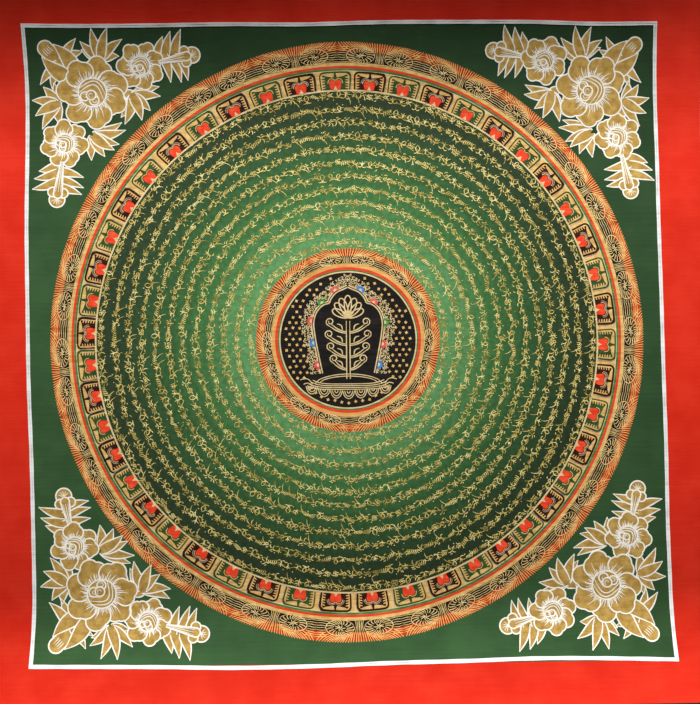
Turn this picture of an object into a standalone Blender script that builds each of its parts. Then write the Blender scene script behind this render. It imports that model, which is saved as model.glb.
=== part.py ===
"""A square painted cotton canvas with a ring mandala, lying face up on a level surface.

The canvas is one square sheet, CLOTH_WIDTH by CLOTH_LENGTH. Its middle lies flat on z = 0. It has been
rolled, so its ends still curl up: the head (+Y) in a long soft bend, the foot (-Y) in a shorter one. The
painted face is the top one. X runs across the cloth, from its left edge to its right.
"""

from collections import namedtuple
from math import radians

import bpy
import numpy as np

CLOTH_WIDTH = 0.760
CLOTH_LENGTH = 0.760
CLOTH_THICKNESS = 0.001

# How far from the middle of its length the cloth lies flat, towards each end.
HEAD_FLAT_TO = 0.190
FOOT_FLAT_TO = 0.262

# The grid of the sheet: even columns across, and rows that lie close together only where the ends curl.
COLUMNS_ACROSS = 32
ROWS_IN_CURL = 10
ROWS_IN_MIDDLE = 6
CURL_ROW_CROWDING = 0.75  # under 1, the rows crowd towards the cut edge, and the first is a long step

# One row for each place across the width.
# across: place as a share of the half width, from the left edge (-1) to the right edge (1)
# edge_slope: slope of the cloth at its cut edge there, in degrees
CurlRow = namedtuple("CurlRow", "across edge_slope")
HEAD_CURL = (
    CurlRow(-1.00, 18.0),
    CurlRow(-0.70, 17.2),
    CurlRow(-0.36, 17.8),
    CurlRow(0.00, 17.0),
    CurlRow(0.38, 17.6),
    CurlRow(0.72, 16.6),
    CurlRow(1.00, 14.8),
)
FOOT_CURL = (
    CurlRow(-1.00, 24.5),
    CurlRow(-0.72, 25.6),
    CurlRow(-0.38, 24.8),
    CurlRow(0.00, 25.8),
    CurlRow(0.36, 25.2),
    CurlRow(0.74, 26.4),
    CurlRow(1.00, 28.0),
)

PAINT_GREEN = (0.045, 0.100, 0.045)
PAINT_ROUGHNESS = 0.75
SHADE_SHARP_ABOVE = radians(40.0)  # only the cut edges are this sharp


def clear_scene():
    """Remove every object that the file opened with."""
    for item in list(bpy.data.objects):
        bpy.data.objects.remove(item, do_unlink=True)


def edge_slope(across, rows):
    """Read a curl table at any place across, with an eased step from row to row."""
    places = np.array([row.across for row in rows])
    slopes = np.radians([row.edge_slope for row in rows])
    left = np.clip(np.searchsorted(places, across, side="right") - 1, 0, len(rows) - 2)
    share = (across - places[left]) / (places[left + 1] - places[left])
    step = share * share * (3.0 - 2.0 * share)
    return slopes[left] + (slopes[left + 1] - slopes[left]) * step


def end_arc(across, along, flat_to, rows):
    """Bend one end: flat as far as flat_to, then a round arc that reaches its slope at the cut edge.

    along is the distance from the middle, measured on the cloth. Returns how far out and how high it lies.
    """
    curvature = edge_slope(across, rows) / (CLOTH_LENGTH / 2 - flat_to)
    turn = curvature * np.maximum(along - flat_to, 0.0)
    outward = np.minimum(along, flat_to) + np.sin(turn) / curvature
    height = (1.0 - np.cos(turn)) / curvature
    return outward, height


def curl_rows(flat_to):
    """Where the rows of one curl lie along the cloth, from the first after flat_to to the cut edge."""
    shares = (np.arange(1, ROWS_IN_CURL + 1) / ROWS_IN_CURL) ** CURL_ROW_CROWDING
    return flat_to + (CLOTH_LENGTH / 2 - flat_to) * shares


def underside_points():
    """The grid of points on the sheet's underside, row by row from the foot to the head."""
    middle_rows = np.linspace(-FOOT_FLAT_TO, HEAD_FLAT_TO, ROWS_IN_MIDDLE + 1)
    rows = np.concatenate((-curl_rows(FOOT_FLAT_TO)[::-1], middle_rows, curl_rows(HEAD_FLAT_TO)))
    columns = np.linspace(-1.0, 1.0, COLUMNS_ACROSS + 1)
    along, across = np.meshgrid(rows, columns, indexing="ij")
    head_y, head_z = end_arc(across, along, HEAD_FLAT_TO, HEAD_CURL)
    foot_y, foot_z = end_arc(across, -along, FOOT_FLAT_TO, FOOT_CURL)
    y = np.where(along >= 0.0, head_y, -foot_y)
    z = np.where(along >= 0.0, head_z, foot_z)
    y -= (y.max() + y.min()) / 2
    return np.stack((across * CLOTH_WIDTH / 2, y, z), axis=-1)


def grid_faces(row_count, column_count):
    """Four-sided faces over a grid of points, with their fronts up."""
    numbers = np.arange(row_count * column_count).reshape(row_count, column_count)
    corners = (numbers[:-1, :-1], numbers[:-1, 1:], numbers[1:, 1:], numbers[1:, :-1])
    return np.stack(corners, axis=-1).reshape(-1, 4)


def painted_cotton():
    """Matt paint on primed cotton."""
    material = bpy.data.materials.new("painted_cotton")
    material.use_nodes = True
    shader = material.node_tree.nodes["Principled BSDF"]
    shader.inputs["Base Color"].default_value = (*PAINT_GREEN, 1.0)
    shader.inputs["Roughness"].default_value = PAINT_ROUGHNESS
    shader.inputs["Metallic"].default_value = 0.0
    return material


def make_canvas():
    """The canvas: its underside as a grid, thickened upwards by the cloth's thickness."""
    points = underside_points()
    mesh = bpy.data.meshes.new("painted_canvas")
    mesh.from_pydata(points.reshape(-1, 3).tolist(), [], grid_faces(*points.shape[:2]).tolist())
    mesh.shade_smooth()
    mesh.set_sharp_from_angle(angle=SHADE_SHARP_ABOVE)
    mesh.materials.append(painted_cotton())
    canvas = bpy.data.objects.new("painted_canvas", mesh)
    bpy.context.collection.objects.link(canvas)
    thickness = canvas.modifiers.new("cloth_thickness", "SOLIDIFY")
    thickness.thickness = CLOTH_THICKNESS
    thickness.offset = 1.0
    thickness.use_even_offset = True
    return canvas


def main():
    """Build the one piece that the painting is made of."""
    clear_scene()
    make_canvas()


main()
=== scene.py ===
"""Looks of a painted mandala canvas: every line and fill is a thin film of paint laid on the bent cloth.

All motifs are drawn in the flat cloth's own coordinates, in millimetres from its middle (u to the right, v
to the head), and one function then carries them on to the bent sheet.
"""

import logging
from dataclasses import KW_ONLY, dataclass, field
from enum import Enum
from typing import Any, NamedTuple

import bpy
import numpy as np
from mathutils import Matrix, Vector


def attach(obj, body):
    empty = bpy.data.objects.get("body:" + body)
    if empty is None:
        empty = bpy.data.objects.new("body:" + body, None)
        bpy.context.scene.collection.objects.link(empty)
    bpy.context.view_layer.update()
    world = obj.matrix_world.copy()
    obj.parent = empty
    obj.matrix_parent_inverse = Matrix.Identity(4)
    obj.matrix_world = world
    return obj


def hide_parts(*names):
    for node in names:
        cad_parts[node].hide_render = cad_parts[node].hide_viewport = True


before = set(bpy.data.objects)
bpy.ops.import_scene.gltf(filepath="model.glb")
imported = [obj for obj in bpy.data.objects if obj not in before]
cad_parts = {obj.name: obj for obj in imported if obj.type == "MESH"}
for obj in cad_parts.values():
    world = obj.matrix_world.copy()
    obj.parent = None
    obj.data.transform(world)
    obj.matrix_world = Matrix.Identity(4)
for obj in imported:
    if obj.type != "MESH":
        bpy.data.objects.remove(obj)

LOG = logging.getLogger("painted_mandala_canvas")
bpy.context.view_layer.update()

MM = 0.001
TURN = 2.0 * np.pi
MANDALA_CENTRE = (2.3, -2.6)
FLAT_MAP = "OFBake"  # the UV map that holds the flat cloth's coordinates
KEEL_DEPTH = 0.30  # how deep the underside of a stroke is sunk in the cloth, mm
STAGGER = 0.002  # neighbouring strokes differ by this in height, so that none lie in one plane, mm
STAGGER_ROUND = 9  # and after so many strokes the heights start again
THINNEST = 0.03  # half width of the finest hair line, mm
SHARP_ABOVE = np.radians(40.0)
THREAD_HEIGHT = 0.25 * MM
PAINT_SHINE = 0.08  # specular level of dry paint bound with glue

Array = np.ndarray
Pair = tuple[float, float]
Tree = bpy.types.NodeTree
Socket = bpy.types.NodeSocket
Pieces = list[bpy.types.Object]


class Coat(Enum):
    """Height of each coat of paint above the primed cloth, in millimetres, from the first to the last."""

    GROUND = 0.03
    BAND = 0.06
    FILL = 0.09
    SECOND_FILL = 0.12
    LINE = 0.15
    TOP_LINE = 0.18


class Corner(Enum):
    """Which way each corner of the cloth lies, as signs of u and v."""

    HEAD_LEFT = (-1, 1)
    HEAD_RIGHT = (1, 1)
    FOOT_LEFT = (-1, -1)
    FOOT_RIGHT = (1, -1)


class Spot(NamedTuple):
    """A point of a small drawing, in millimetres to the right of its middle line and up from its foot."""

    across: float
    up: float


class DriftRow(NamedTuple):
    """How far the hand has drifted from a true ring or an even spacing, at one angle in degrees."""

    angle: float
    off: float


def table(kind: Any, *rows: tuple[Any, ...]) -> tuple[Any, ...]:
    """A table's rows, each of the kind that names its columns."""
    return tuple(kind(*row) for row in rows)


def shares(count: int) -> Array:
    """Even shares from 0 to 1."""
    return np.linspace(0.0, 1.0, count)


def joined(*columns: Array) -> Array:
    """Coordinates side by side, in the last axis."""
    return np.stack(columns, axis=-1)


# ---- finishes


def linear(colour: str) -> tuple[float, ...]:
    """Turn an sRGB hex colour to linear RGBA.

    Args:
        colour: six hex digits.

    Returns:
        Red, green, blue and alpha, linear.
    """
    parts = np.array([int(colour[i : i + 2], 16) for i in (0, 2, 4)]) / 255.0
    bent = np.where(parts <= 0.04045, parts / 12.92, ((parts + 0.055) / 1.055) ** 2.4)
    return (*bent.tolist(), 1.0)


def add_node(
    tree: Tree, kind: str, settings: dict[str, Any], stops: Any = (), **inputs: Any
) -> bpy.types.Node:
    """Add one node with its settings, and set or link its inputs.

    Args:
        tree: the material's node tree.
        kind: Blender's name of the node type.
        settings: the node's own properties.
        stops: place from 0 to 1 and hex colour of each stop, where the node is a ramp of colours.
        inputs: values or sockets by input name, with _ for a space. One named i0, i1 ... goes by number.

    Returns:
        The new node.
    """
    node = tree.nodes.new(kind)
    for name, value in settings.items():
        setattr(node, name, value)
    if stops:
        elements = node.color_ramp.elements
        while len(elements) < len(stops):
            elements.new(0.5)
        for element, (place, colour) in zip(elements, stops):
            element.position = place
            element.color = linear(colour)
    for name, value in inputs.items():
        key = int(name[1:]) if name[0] == "i" and name[1:].isdigit() else name.replace("_", " ")
        if isinstance(value, Socket):
            tree.links.new(value, node.inputs[key])
        else:
            node.inputs[key].default_value = value
    return node


def flat_millimetres(tree: Tree) -> Socket:
    """The flat cloth's coordinates, from its own UV map.

    Args:
        tree: the material's node tree.

    Returns:
        The vector socket, in millimetres, with the cloth's middle at zero.
    """
    place = add_node(tree, "ShaderNodeUVMap", {"uv_map": FLAT_MAP}).outputs["UV"]
    size, middle = (*FORM.size_mm, 1.0), (*(-FORM.size_mm / 2.0), 0.0)
    sized = add_node(tree, "ShaderNodeMapping", {}, Vector=place, Scale=size, Location=middle)
    return sized.outputs["Vector"]


def mottle(tree: Tree, place: Socket, across_mm: float, along_mm: float, detail: float = 3.0) -> Socket:
    """Uneven patches of a given size.

    Args:
        tree: the material's node tree.
        place: coordinates in millimetres.
        across_mm: patch size along u.
        along_mm: patch size along v.
        detail: octaves of finer patches.

    Returns:
        The value socket, about 0.5 with a spread of 0.2.
    """
    scale = (1.0 / across_mm, 1.0 / along_mm, 1.0)
    sized = add_node(tree, "ShaderNodeMapping", {}, Vector=place, Scale=scale).outputs["Vector"]
    flat = {"noise_dimensions": "2D"}
    return add_node(tree, "ShaderNodeTexNoise", flat, Vector=sized, Scale=1.0, Detail=detail).outputs["Fac"]


def weave_height(tree: Tree, place: Socket) -> Socket:
    """The cotton's threads under paint: uneven slubs along both thread directions.

    Real threads lie 0.5 mm apart. They are drawn 1.6 mm apart, as coarse as the render can show.

    Args:
        tree: the material's node tree.
        place: coordinates in millimetres.

    Returns:
        The height socket.
    """
    warp, weft = mottle(tree, place, 1.6, 22.0, 1.0), mottle(tree, place, 22.0, 1.6, 1.0)
    return add_node(tree, "ShaderNodeMath", {"operation": "ADD"}, i0=warp, i1=weft).outputs[0]


class Shade(NamedTuple):
    """Painted shade: the colour darkens evenly towards one side, standing in for the light that falls off
    there.

    It has its lightness at the cloth's middle, the change for each millimetre along u and v, and the most
    that it reaches.
    """

    middle: float
    for_u: float
    for_v: float
    most: float


def shaded(tree: Tree, place: Socket, colour: Socket, shade: Shade) -> Socket:
    """Paint shade into a colour: darken it evenly towards one side, where less light falls.

    Args:
        tree: the material's node tree.
        place: coordinates in millimetres.
        colour: the colour socket.
        shade: how it changes.

    Returns:
        The colour socket.
    """
    fall = (shade.for_u, shade.for_v, 0.0)
    product = {"operation": "DOT_PRODUCT"}
    along = add_node(tree, "ShaderNodeVectorMath", product, i0=place, i1=fall).outputs["Value"]
    light = add_node(tree, "ShaderNodeMath", {"operation": "ADD"}, i0=along, i1=shade.middle).outputs[0]
    capped = add_node(tree, "ShaderNodeMath", {"operation": "MINIMUM"}, i0=light, i1=shade.most).outputs[0]
    return add_node(tree, "ShaderNodeVectorMath", {"operation": "SCALE"}, i0=colour, Scale=capped).outputs[0]


@dataclass(frozen=True)
class Paint:
    """Mineral colour bound with hide glue on cotton: it gives a dry skin in which the threads just show."""

    name: str
    _: KW_ONLY
    roughness: float = 0.82
    metallic: float = 0.0
    weave_bump: float = 0.10
    shades: tuple[Shade, ...] = ()

    def colour(self, tree: Tree, place: Socket) -> Socket:
        """The paint's own colour, from the node tree and the coordinates in millimetres."""
        raise NotImplementedError

    def material(self) -> bpy.types.Material:
        """Dress the paint's colour with its painted shades, its dry shine and the bump of the threads.

        Returns:
            The material.
        """
        material = bpy.data.materials.new(self.name)
        material.use_nodes = True
        tree = material.node_tree
        place = flat_millimetres(tree)
        colour = self.colour(tree, place)
        for shade in self.shades:
            colour = shaded(tree, place, colour, shade)
        threads = weave_height(tree, place)
        bump = add_node(
            tree, "ShaderNodeBump", {}, Strength=self.weave_bump, Distance=THREAD_HEIGHT, Height=threads
        )
        shader = tree.nodes["Principled BSDF"]
        tree.links.new(colour, shader.inputs["Base Color"])
        tree.links.new(bump.outputs["Normal"], shader.inputs["Normal"])
        shader.inputs["Roughness"].default_value = self.roughness
        shader.inputs["Specular IOR Level"].default_value = PAINT_SHINE
        shader.inputs["Metallic"].default_value = self.metallic
        return material


@dataclass(frozen=True)
class Gouache(Paint):
    """Matt colour brushed on in one coat: it gives a flat, chalky look with soft streaks."""

    thin: str
    body: str
    thick: str
    patch_mm: float = 34.0
    streak_across_mm: float = 60.0
    streak_along_mm: float = 2.6
    streak_share: float = 0.45

    def colour(self, tree: Tree, place: Socket) -> Socket:
        """Three tones of one colour, mixed by broad patches and fine bristle streaks.

        Args:
            tree: the material's node tree.
            place: coordinates in millimetres.

        Returns:
            The colour socket.
        """
        patches = mottle(tree, place, self.patch_mm, self.patch_mm)
        streaks = mottle(tree, place, self.streak_across_mm, self.streak_along_mm, 2.0)
        number = {"data_type": "FLOAT"}
        mixed = add_node(tree, "ShaderNodeMix", number, i0=self.streak_share, i2=patches, i3=streaks)
        stops = ((0.34, self.thin), (0.50, self.body), (0.66, self.thick))
        return add_node(tree, "ShaderNodeValToRGB", {}, stops, Fac=mixed.outputs[0]).outputs["Color"]


class ToneRing(NamedTuple):
    """One ring of a graded ground: where it ends, as a share of the way out, and its colour."""

    until: float
    colour: str


@dataclass(frozen=True)
class GradedGouache(Paint):
    """Gouache laid in rings, each lighter than the one outside it: it gives the glow round the medallion."""

    centre: Pair
    radii: Pair
    rings: tuple[ToneRing, ...]
    blend: float = 0.012  # half the width of the soft step between rings, as a share of the way out
    wander_mm: float = 7.0
    wander_patch_mm: float = 16.0
    cloud_mm: float = 5.0

    def colour(self, tree: Tree, place: Socket) -> Socket:
        """Colour by distance from the centre: each ring is even, with a soft, wandering step to the next.

        Args:
            tree: the material's node tree.
            place: coordinates in millimetres.

        Returns:
            The colour socket.
        """
        centre = (-self.centre[0], -self.centre[1], 0.0)
        centred = add_node(tree, "ShaderNodeMapping", {}, Vector=place, Location=centre).outputs["Vector"]
        length = {"operation": "LENGTH"}
        distance = add_node(tree, "ShaderNodeVectorMath", length, i0=centred).outputs["Value"]
        wander = mottle(tree, place, self.wander_patch_mm, self.wander_patch_mm)
        sum_of = {"operation": "MULTIPLY_ADD"}
        way = add_node(tree, "ShaderNodeMath", sum_of, i0=wander, i1=self.wander_mm, i2=distance).outputs[0]
        inner, outer = (radius + self.wander_mm / 2.0 for radius in self.radii)
        share = add_node(tree, "ShaderNodeMapRange", {}, Value=way, From_Min=inner, From_Max=outer).outputs[0]
        stops = []
        for number, ring in enumerate(self.rings):
            start = self.rings[number - 1].until + self.blend if number else 0.0
            stops += [(start, ring.colour), (ring.until - self.blend, ring.colour)]
        ground = add_node(tree, "ShaderNodeValToRGB", {}, stops, Fac=share).outputs["Color"]
        clouds = mottle(tree, place, self.cloud_mm, self.cloud_mm, 4.0)
        soft = ((0.35, "E2E2E2"), (0.65, "FFFFFF"))
        lights = add_node(tree, "ShaderNodeValToRGB", {}, soft, Fac=clouds).outputs["Color"]
        product = {"data_type": "RGBA", "blend_type": "MULTIPLY"}
        return add_node(tree, "ShaderNodeMix", product, i0=1.0, i6=ground, i7=lights).outputs[2]


# Painted shade: each darkens a paint's colour towards the foot, the head or the right, where less light
# falls.
PAINTED_SHADE_AT_FOOT = Shade(1.04, 0.0, 0.0007, 1.0)
PAINTED_SHADE_AT_HEAD = Shade(1.217, 0.0, -0.00181, 1.08)
PAINTED_SHADE_AT_RIGHT = Shade(1.12, -0.001, 0.0, 1.0)
# The red border's colour has painted shade towards the foot.
RED_BORDER = Gouache(
    "red_vermilion_gouache", "D62815", "DC2D19", "E1331E", streak_share=0.25, roughness=0.78,
    shades=(PAINTED_SHADE_AT_FOOT,),
)
RAW_COTTON = Gouache(
    "unpainted_cotton_canvas", "B9AC93", "CBBFA7", "D8CDB8", 60.0, streak_along_mm=1.6, roughness=0.95,
    weave_bump=0.6,
)
# The green ground's colour has painted shade towards the head and towards the right.
GREEN_GROUND = Gouache(
    "deep_green_gouache", "314E2D", "355331", "395834", streak_share=0.3,
    shades=(PAINTED_SHADE_AT_HEAD, PAINTED_SHADE_AT_RIGHT),
)
# Fills and inks, each with the size of its patches in millimetres.
ORANGE = Gouache("flame_orange_gouache", "AC3814", "C0441A", "D05424", 9.0)
FLAME_RED = Gouache("flame_red_gouache", "92180A", "A41F0D", "B62A14", 9.0)
SOOT_BLACK = Gouache("soot_black_ink", "181513", "1E1B19", "262220", 12.0, roughness=0.7)
OCHRE = Gouache("ochre_gold_wash", "CF9650", "E0A85E", "ECB76C", 10.0)
RED_LINE = Gouache("red_line_gouache", "D03A22", "DE452B", "E8553A", 14.0)
GREEN_LINE = Gouache("leaf_green_line", "3A6232", "48763E", "62904E", 10.0)
CHALK_WHITE = Gouache("chalk_white_line", "F0ECDE", "FAF7EC", "FFFDF6", 8.0)
BORDER_WHITE = Gouache("border_chalk_white", "DADCD8", "ECEDEA", "F6F6F4", 16.0)
BORDER_GREY = Gouache("border_line_grey", "A9ABA6", "BDBFBA", "CFCFCA", 16.0)
CELL_BLACK = Gouache("maroon_black_ink", "28130B", "32180E", "3E2113", 8.0)
CELL_GREEN = Gouache("cell_green_gouache", "2A4122", "334C27", "405B31", 8.0)
HEART_RED = Gouache("heart_red_gouache", "E03A22", "EE472B", "F65D3A", 6.0)
PEARL_GREY = Gouache("pearl_grey_line", "94867F", "A99B92", "BCAFA6", 6.0)
PETAL_RED = Gouache("petal_red_gouache", "D64A4A", "E65A58", "EE716B", 3.0)
PETAL_BLUE = Gouache("petal_blue_gouache", "2F6FB8", "3F82C8", "5C98D4", 3.0)
PETAL_GREEN = Gouache("petal_green_gouache", "2F7A34", "3F8C40", "569C52", 3.0)
# Shell gold, ground fine and bound with glue: it gives a soft satin that is brighter than any ochre.
PALE_GOLD = Gouache("pale_shell_gold", "D8BC80", "EACF96", "F5DFAE", 6.0, roughness=0.5, metallic=0.15)
FLAME_GOLD = Gouache("flame_shell_gold", "E8A456", "FABA6C", "FFCE84", 5.0, roughness=0.5, metallic=0.1)
WHEEL_GOLD = Gouache("wheel_shell_gold", "DEB66E", "F6D48C", "FFE6A8", 5.0, roughness=0.5, metallic=0.15)
MARK_GOLD = Gouache("mark_shell_gold", "A08A42", "E4C972", "FFEDA4", 11.0, roughness=0.5, metallic=0.1)
CELL_GOLD = Gouache("cell_shell_gold", "CEA25A", "E5B96E", "F6CF88", 6.0, roughness=0.5, metallic=0.12)
SPRAY_GOLD = Gouache(
    "old_gold_fill", "B69047", "CAA256", "DAB464", 7.0, streak_share=0.2, roughness=0.48, metallic=0.25
)


# ---- the bent cloth


class CurlRow(NamedTuple):
    """Slope of the cloth at its cut edge, in degrees, at one share of its half width."""

    across: float
    edge_slope: float


def smooth_through(places: Array, values: Array, at: Array) -> Array:
    """Read a table with a smooth curve through its rows.

    Formula: a cubic between two rows, whose slope at each row is that of the line between its neighbours.

    Args:
        places: rising places of the rows.
        values: value at each row.
        at: where to read.

    Returns:
        A value for each place asked.
    """
    slopes = np.gradient(values, places)
    left = np.clip(np.searchsorted(places, at, side="right") - 1, 0, len(places) - 2)
    step = places[left + 1] - places[left]
    t = (at - places[left]) / step
    return (
        values[left] * (1.0 + 2.0 * t) * (1.0 - t) ** 2
        + slopes[left] * step * t * (1.0 - t) ** 2
        + values[left + 1] * t * t * (3.0 - 2.0 * t)
        - slopes[left + 1] * step * t * t * (1.0 - t)
    )


@dataclass(frozen=True)
class CanvasForm:
    """The bent sheet: flat in the middle of its length, with a round curl at its head and its foot."""

    width: float = 0.760
    length: float = 0.760
    thickness: float = 0.001
    head_flat_to: float = 0.190
    foot_flat_to: float = 0.262
    head_curl: tuple[CurlRow, ...] = table(
        CurlRow, (-1.00, 18.0), (-0.70, 17.2), (-0.36, 17.8), (0.00, 17.0), (0.38, 17.6), (0.72, 16.6),
        (1.00, 14.8)
    )
    foot_curl: tuple[CurlRow, ...] = table(
        CurlRow, (-1.00, 24.5), (-0.72, 25.6), (-0.38, 24.8), (0.00, 25.8), (0.36, 25.2), (0.74, 26.4),
        (1.00, 28.0)
    )
    unevenness: float = 0.0003

    @property
    def size_mm(self) -> Array:
        """Width and length of the flat cloth, in millimetres."""
        return np.array((self.width, self.length)) / MM

    def edge_slope(self, across: Array, rows: tuple[CurlRow, ...]) -> Array:
        """Read a curl table at any place across, with an eased step from row to row.

        Args:
            across: share of the half width, from -1 to 1.
            rows: the curl's table.

        Returns:
            The slope at the cut edge, in radians.
        """
        places, slopes = np.array(rows).T
        slopes = np.radians(slopes)
        left = np.clip(np.searchsorted(places, across, side="right") - 1, 0, len(rows) - 2)
        share = (across - places[left]) / (places[left + 1] - places[left])
        step = share * share * (3.0 - 2.0 * share)
        return slopes[left] + (slopes[left + 1] - slopes[left]) * step

    def end_arc(
        self, across: Array, along: Array, flat_to: float, rows: tuple[CurlRow, ...]
    ) -> tuple[Array, Array, Array]:
        """Bend one end: flat as far as flat_to, then an arc of even curvature to the slope at the cut edge.

        Args:
            across: share of the half width.
            along: distance from the middle towards this end, measured on the cloth.
            flat_to: where the arc starts.
            rows: the curl's table.

        Returns:
            How far out and how high each point lies, and how far the cloth has turned there.
        """
        curvature = self.edge_slope(across, rows) / (self.length / 2.0 - flat_to)
        turn = curvature * np.maximum(along - flat_to, 0.0)
        outward = np.minimum(along, flat_to) + np.sin(turn) / curvature
        return outward, (1.0 - np.cos(turn)) / curvature, turn

    def centring(self) -> float:
        """How far the bent sheet is moved along Y so that its box is centred.

        Returns:
            The distance, in metres.
        """
        across = np.linspace(-1.0, 1.0, 33)
        end = np.full(33, self.length / 2.0)
        head = self.end_arc(across, end, self.head_flat_to, self.head_curl)[0].max()
        foot = self.end_arc(across, end, self.foot_flat_to, self.foot_curl)[0].max()
        return -(head - foot) / 2.0

    def place(self, flat: Array) -> Array:
        """Carry points of the flat cloth on to the bent one.

        Formula: the point's own arc gives its foot on the underside, the height goes along the normal there,
        and three slow waves raise the whole cloth by a few tenths of a millimetre.

        Args:
            flat: u, v and height above the painted face, in millimetres, in the last axis.

        Returns:
            Points in the frame, in metres.
        """
        u, v, height = (flat[..., axis] * MM for axis in range(3))
        across = u / (self.width / 2.0)
        head_y, head_z, head_turn = self.end_arc(across, v, self.head_flat_to, self.head_curl)
        foot_y, foot_z, foot_turn = self.end_arc(across, -v, self.foot_flat_to, self.foot_curl)
        at_head = v >= 0.0
        y = np.where(at_head, head_y, -foot_y) + self.centring()
        z = np.where(at_head, head_z, foot_z)
        turn = np.where(at_head, head_turn, -foot_turn)
        phases = (u * 31.0 + v * 9.0, v * 43.0 - u * 13.0 + 1.1, u * 57.0 + v * 21.0 + 2.0)
        waves = sum(np.sin(phase) for phase in phases)
        lift = height + self.thickness + self.unevenness * (waves / 3.0 + 1.0) / 2.0
        return joined(u, y - np.sin(turn) * lift, z + np.cos(turn) * lift)


FORM = CanvasForm()


# ---- drawing


def polar(centre: Pair, radius: Array, angle: Array) -> Array:
    """Points by radius and by angle clockwise from the head, round a centre.

    Args:
        centre: u and v of the centre.
        radius: distance from it.
        angle: radians, clockwise from straight up.

    Returns:
        u and v in the last axis.
    """
    return joined(centre[0] + radius * np.sin(angle), centre[1] + radius * np.cos(angle))


def on_ring(radius: Array, angle: Array) -> Array:
    """Points by radius and by angle clockwise from the head, round the mandala's middle."""
    return polar(MANDALA_CENTRE, radius, angle)


def all_round(count: int) -> Array:
    """Evenly spaced angles of one turn, in radians."""
    return np.linspace(0.0, TURN, count, endpoint=False)


def square_to(paths: Array) -> Array:
    """Unit vectors square to open paths, to their left.

    Args:
        paths: (k, n, 2) points.

    Returns:
        (k, n, 2) vectors.
    """
    along = np.gradient(paths, axis=1)
    along /= np.maximum(np.linalg.norm(along, axis=-1, keepdims=True), 1e-6)
    return joined(-along[..., 1], along[..., 0])


def both(shapes: Array) -> Array:
    """Drawings and their mirror images, (k, n, 2)."""
    return np.concatenate((shapes, shapes * (-1.0, 1.0)))


def symmetric(half: Any) -> Array:
    """A whole outline, (1, n, 2), from the points of its one half."""
    return np.concatenate((half, np.array(half)[::-1] * (-1.0, 1.0)))[None]


def bowed(start: Any, end: Any, bow: Array | float, count: int) -> Array:
    """Bowed lines from starts to ends.

    Formula: the straight line plus the bow's share of its length, sideways, as a half sine.

    Args:
        start: (k, 2) first points.
        end: (k, 2) last points.
        bow: sideways rise as a share of the length, to the left.
        count: points on each line.

    Returns:
        (k, count, 2) points.
    """
    start, end = np.atleast_2d(start).astype(float), np.atleast_2d(end).astype(float)
    t = shares(count)[None, :, None]
    along = end - start
    left = joined(-along[:, 1], along[:, 0])
    rise = np.broadcast_to(np.asarray(bow, float), (len(start),))[:, None, None]
    return start[:, None] + along[:, None] * t + left[:, None] * rise * np.sin(np.pi * t)


def spiral(centre: Pair, outer: float, inner: float, start: float, turns: float, count: int) -> Array:
    """A spiral stroke: the radius falls evenly from outer to inner over the given turns.

    Args:
        centre: its middle.
        outer: radius at the start.
        inner: radius at the end.
        start: angle of the start, turns clockwise from straight up.
        turns: how far it winds, clockwise.
        count: points on it.

    Returns:
        (count, 2) points.
    """
    t = shares(count)
    return polar(centre, outer + (inner - outer) * t, TURN * (start + turns * t))


def brush(count: int, width: float, start: float = 0.25, end: float = 0.15) -> Array:
    """Half widths along a brush stroke: it swells from its start and thins out at its end.

    Args:
        count: points on the stroke.
        width: full width at its widest, mm.
        start: share of the width at the first point.
        end: share of the width at the last point.

    Returns:
        (count,) half widths.
    """
    t = shares(count)
    body = np.sin(np.pi * np.clip(t * 0.8 + 0.12, 0.0, 1.0)) ** 0.5
    tips = start * (1.0 - t) ** 4 + end * t**4
    return 0.5 * width * np.maximum(body * np.minimum(1.0, 1.0 - (1.0 - end) * t**6), tips)


def moved(paths: Array, centres: Array, angles: Array) -> Array:
    """Copies of small drawings, each turned and put in its place.

    Args:
        paths: (s, n, 2) strokes of one drawing, x to the right and y outwards.
        centres: (c, 2) places of the copies.
        angles: (c,) radians that each copy is turned clockwise.

    Returns:
        (c * s, n, 2) strokes.
    """
    x, y = paths[None, ..., 0], paths[None, ..., 1]
    cos, sin = np.cos(angles)[:, None, None], np.sin(angles)[:, None, None]
    turned = joined(x * cos + y * sin, -x * sin + y * cos) + centres[:, None, None, :]
    return turned.reshape(-1, *paths.shape[1:])


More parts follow.
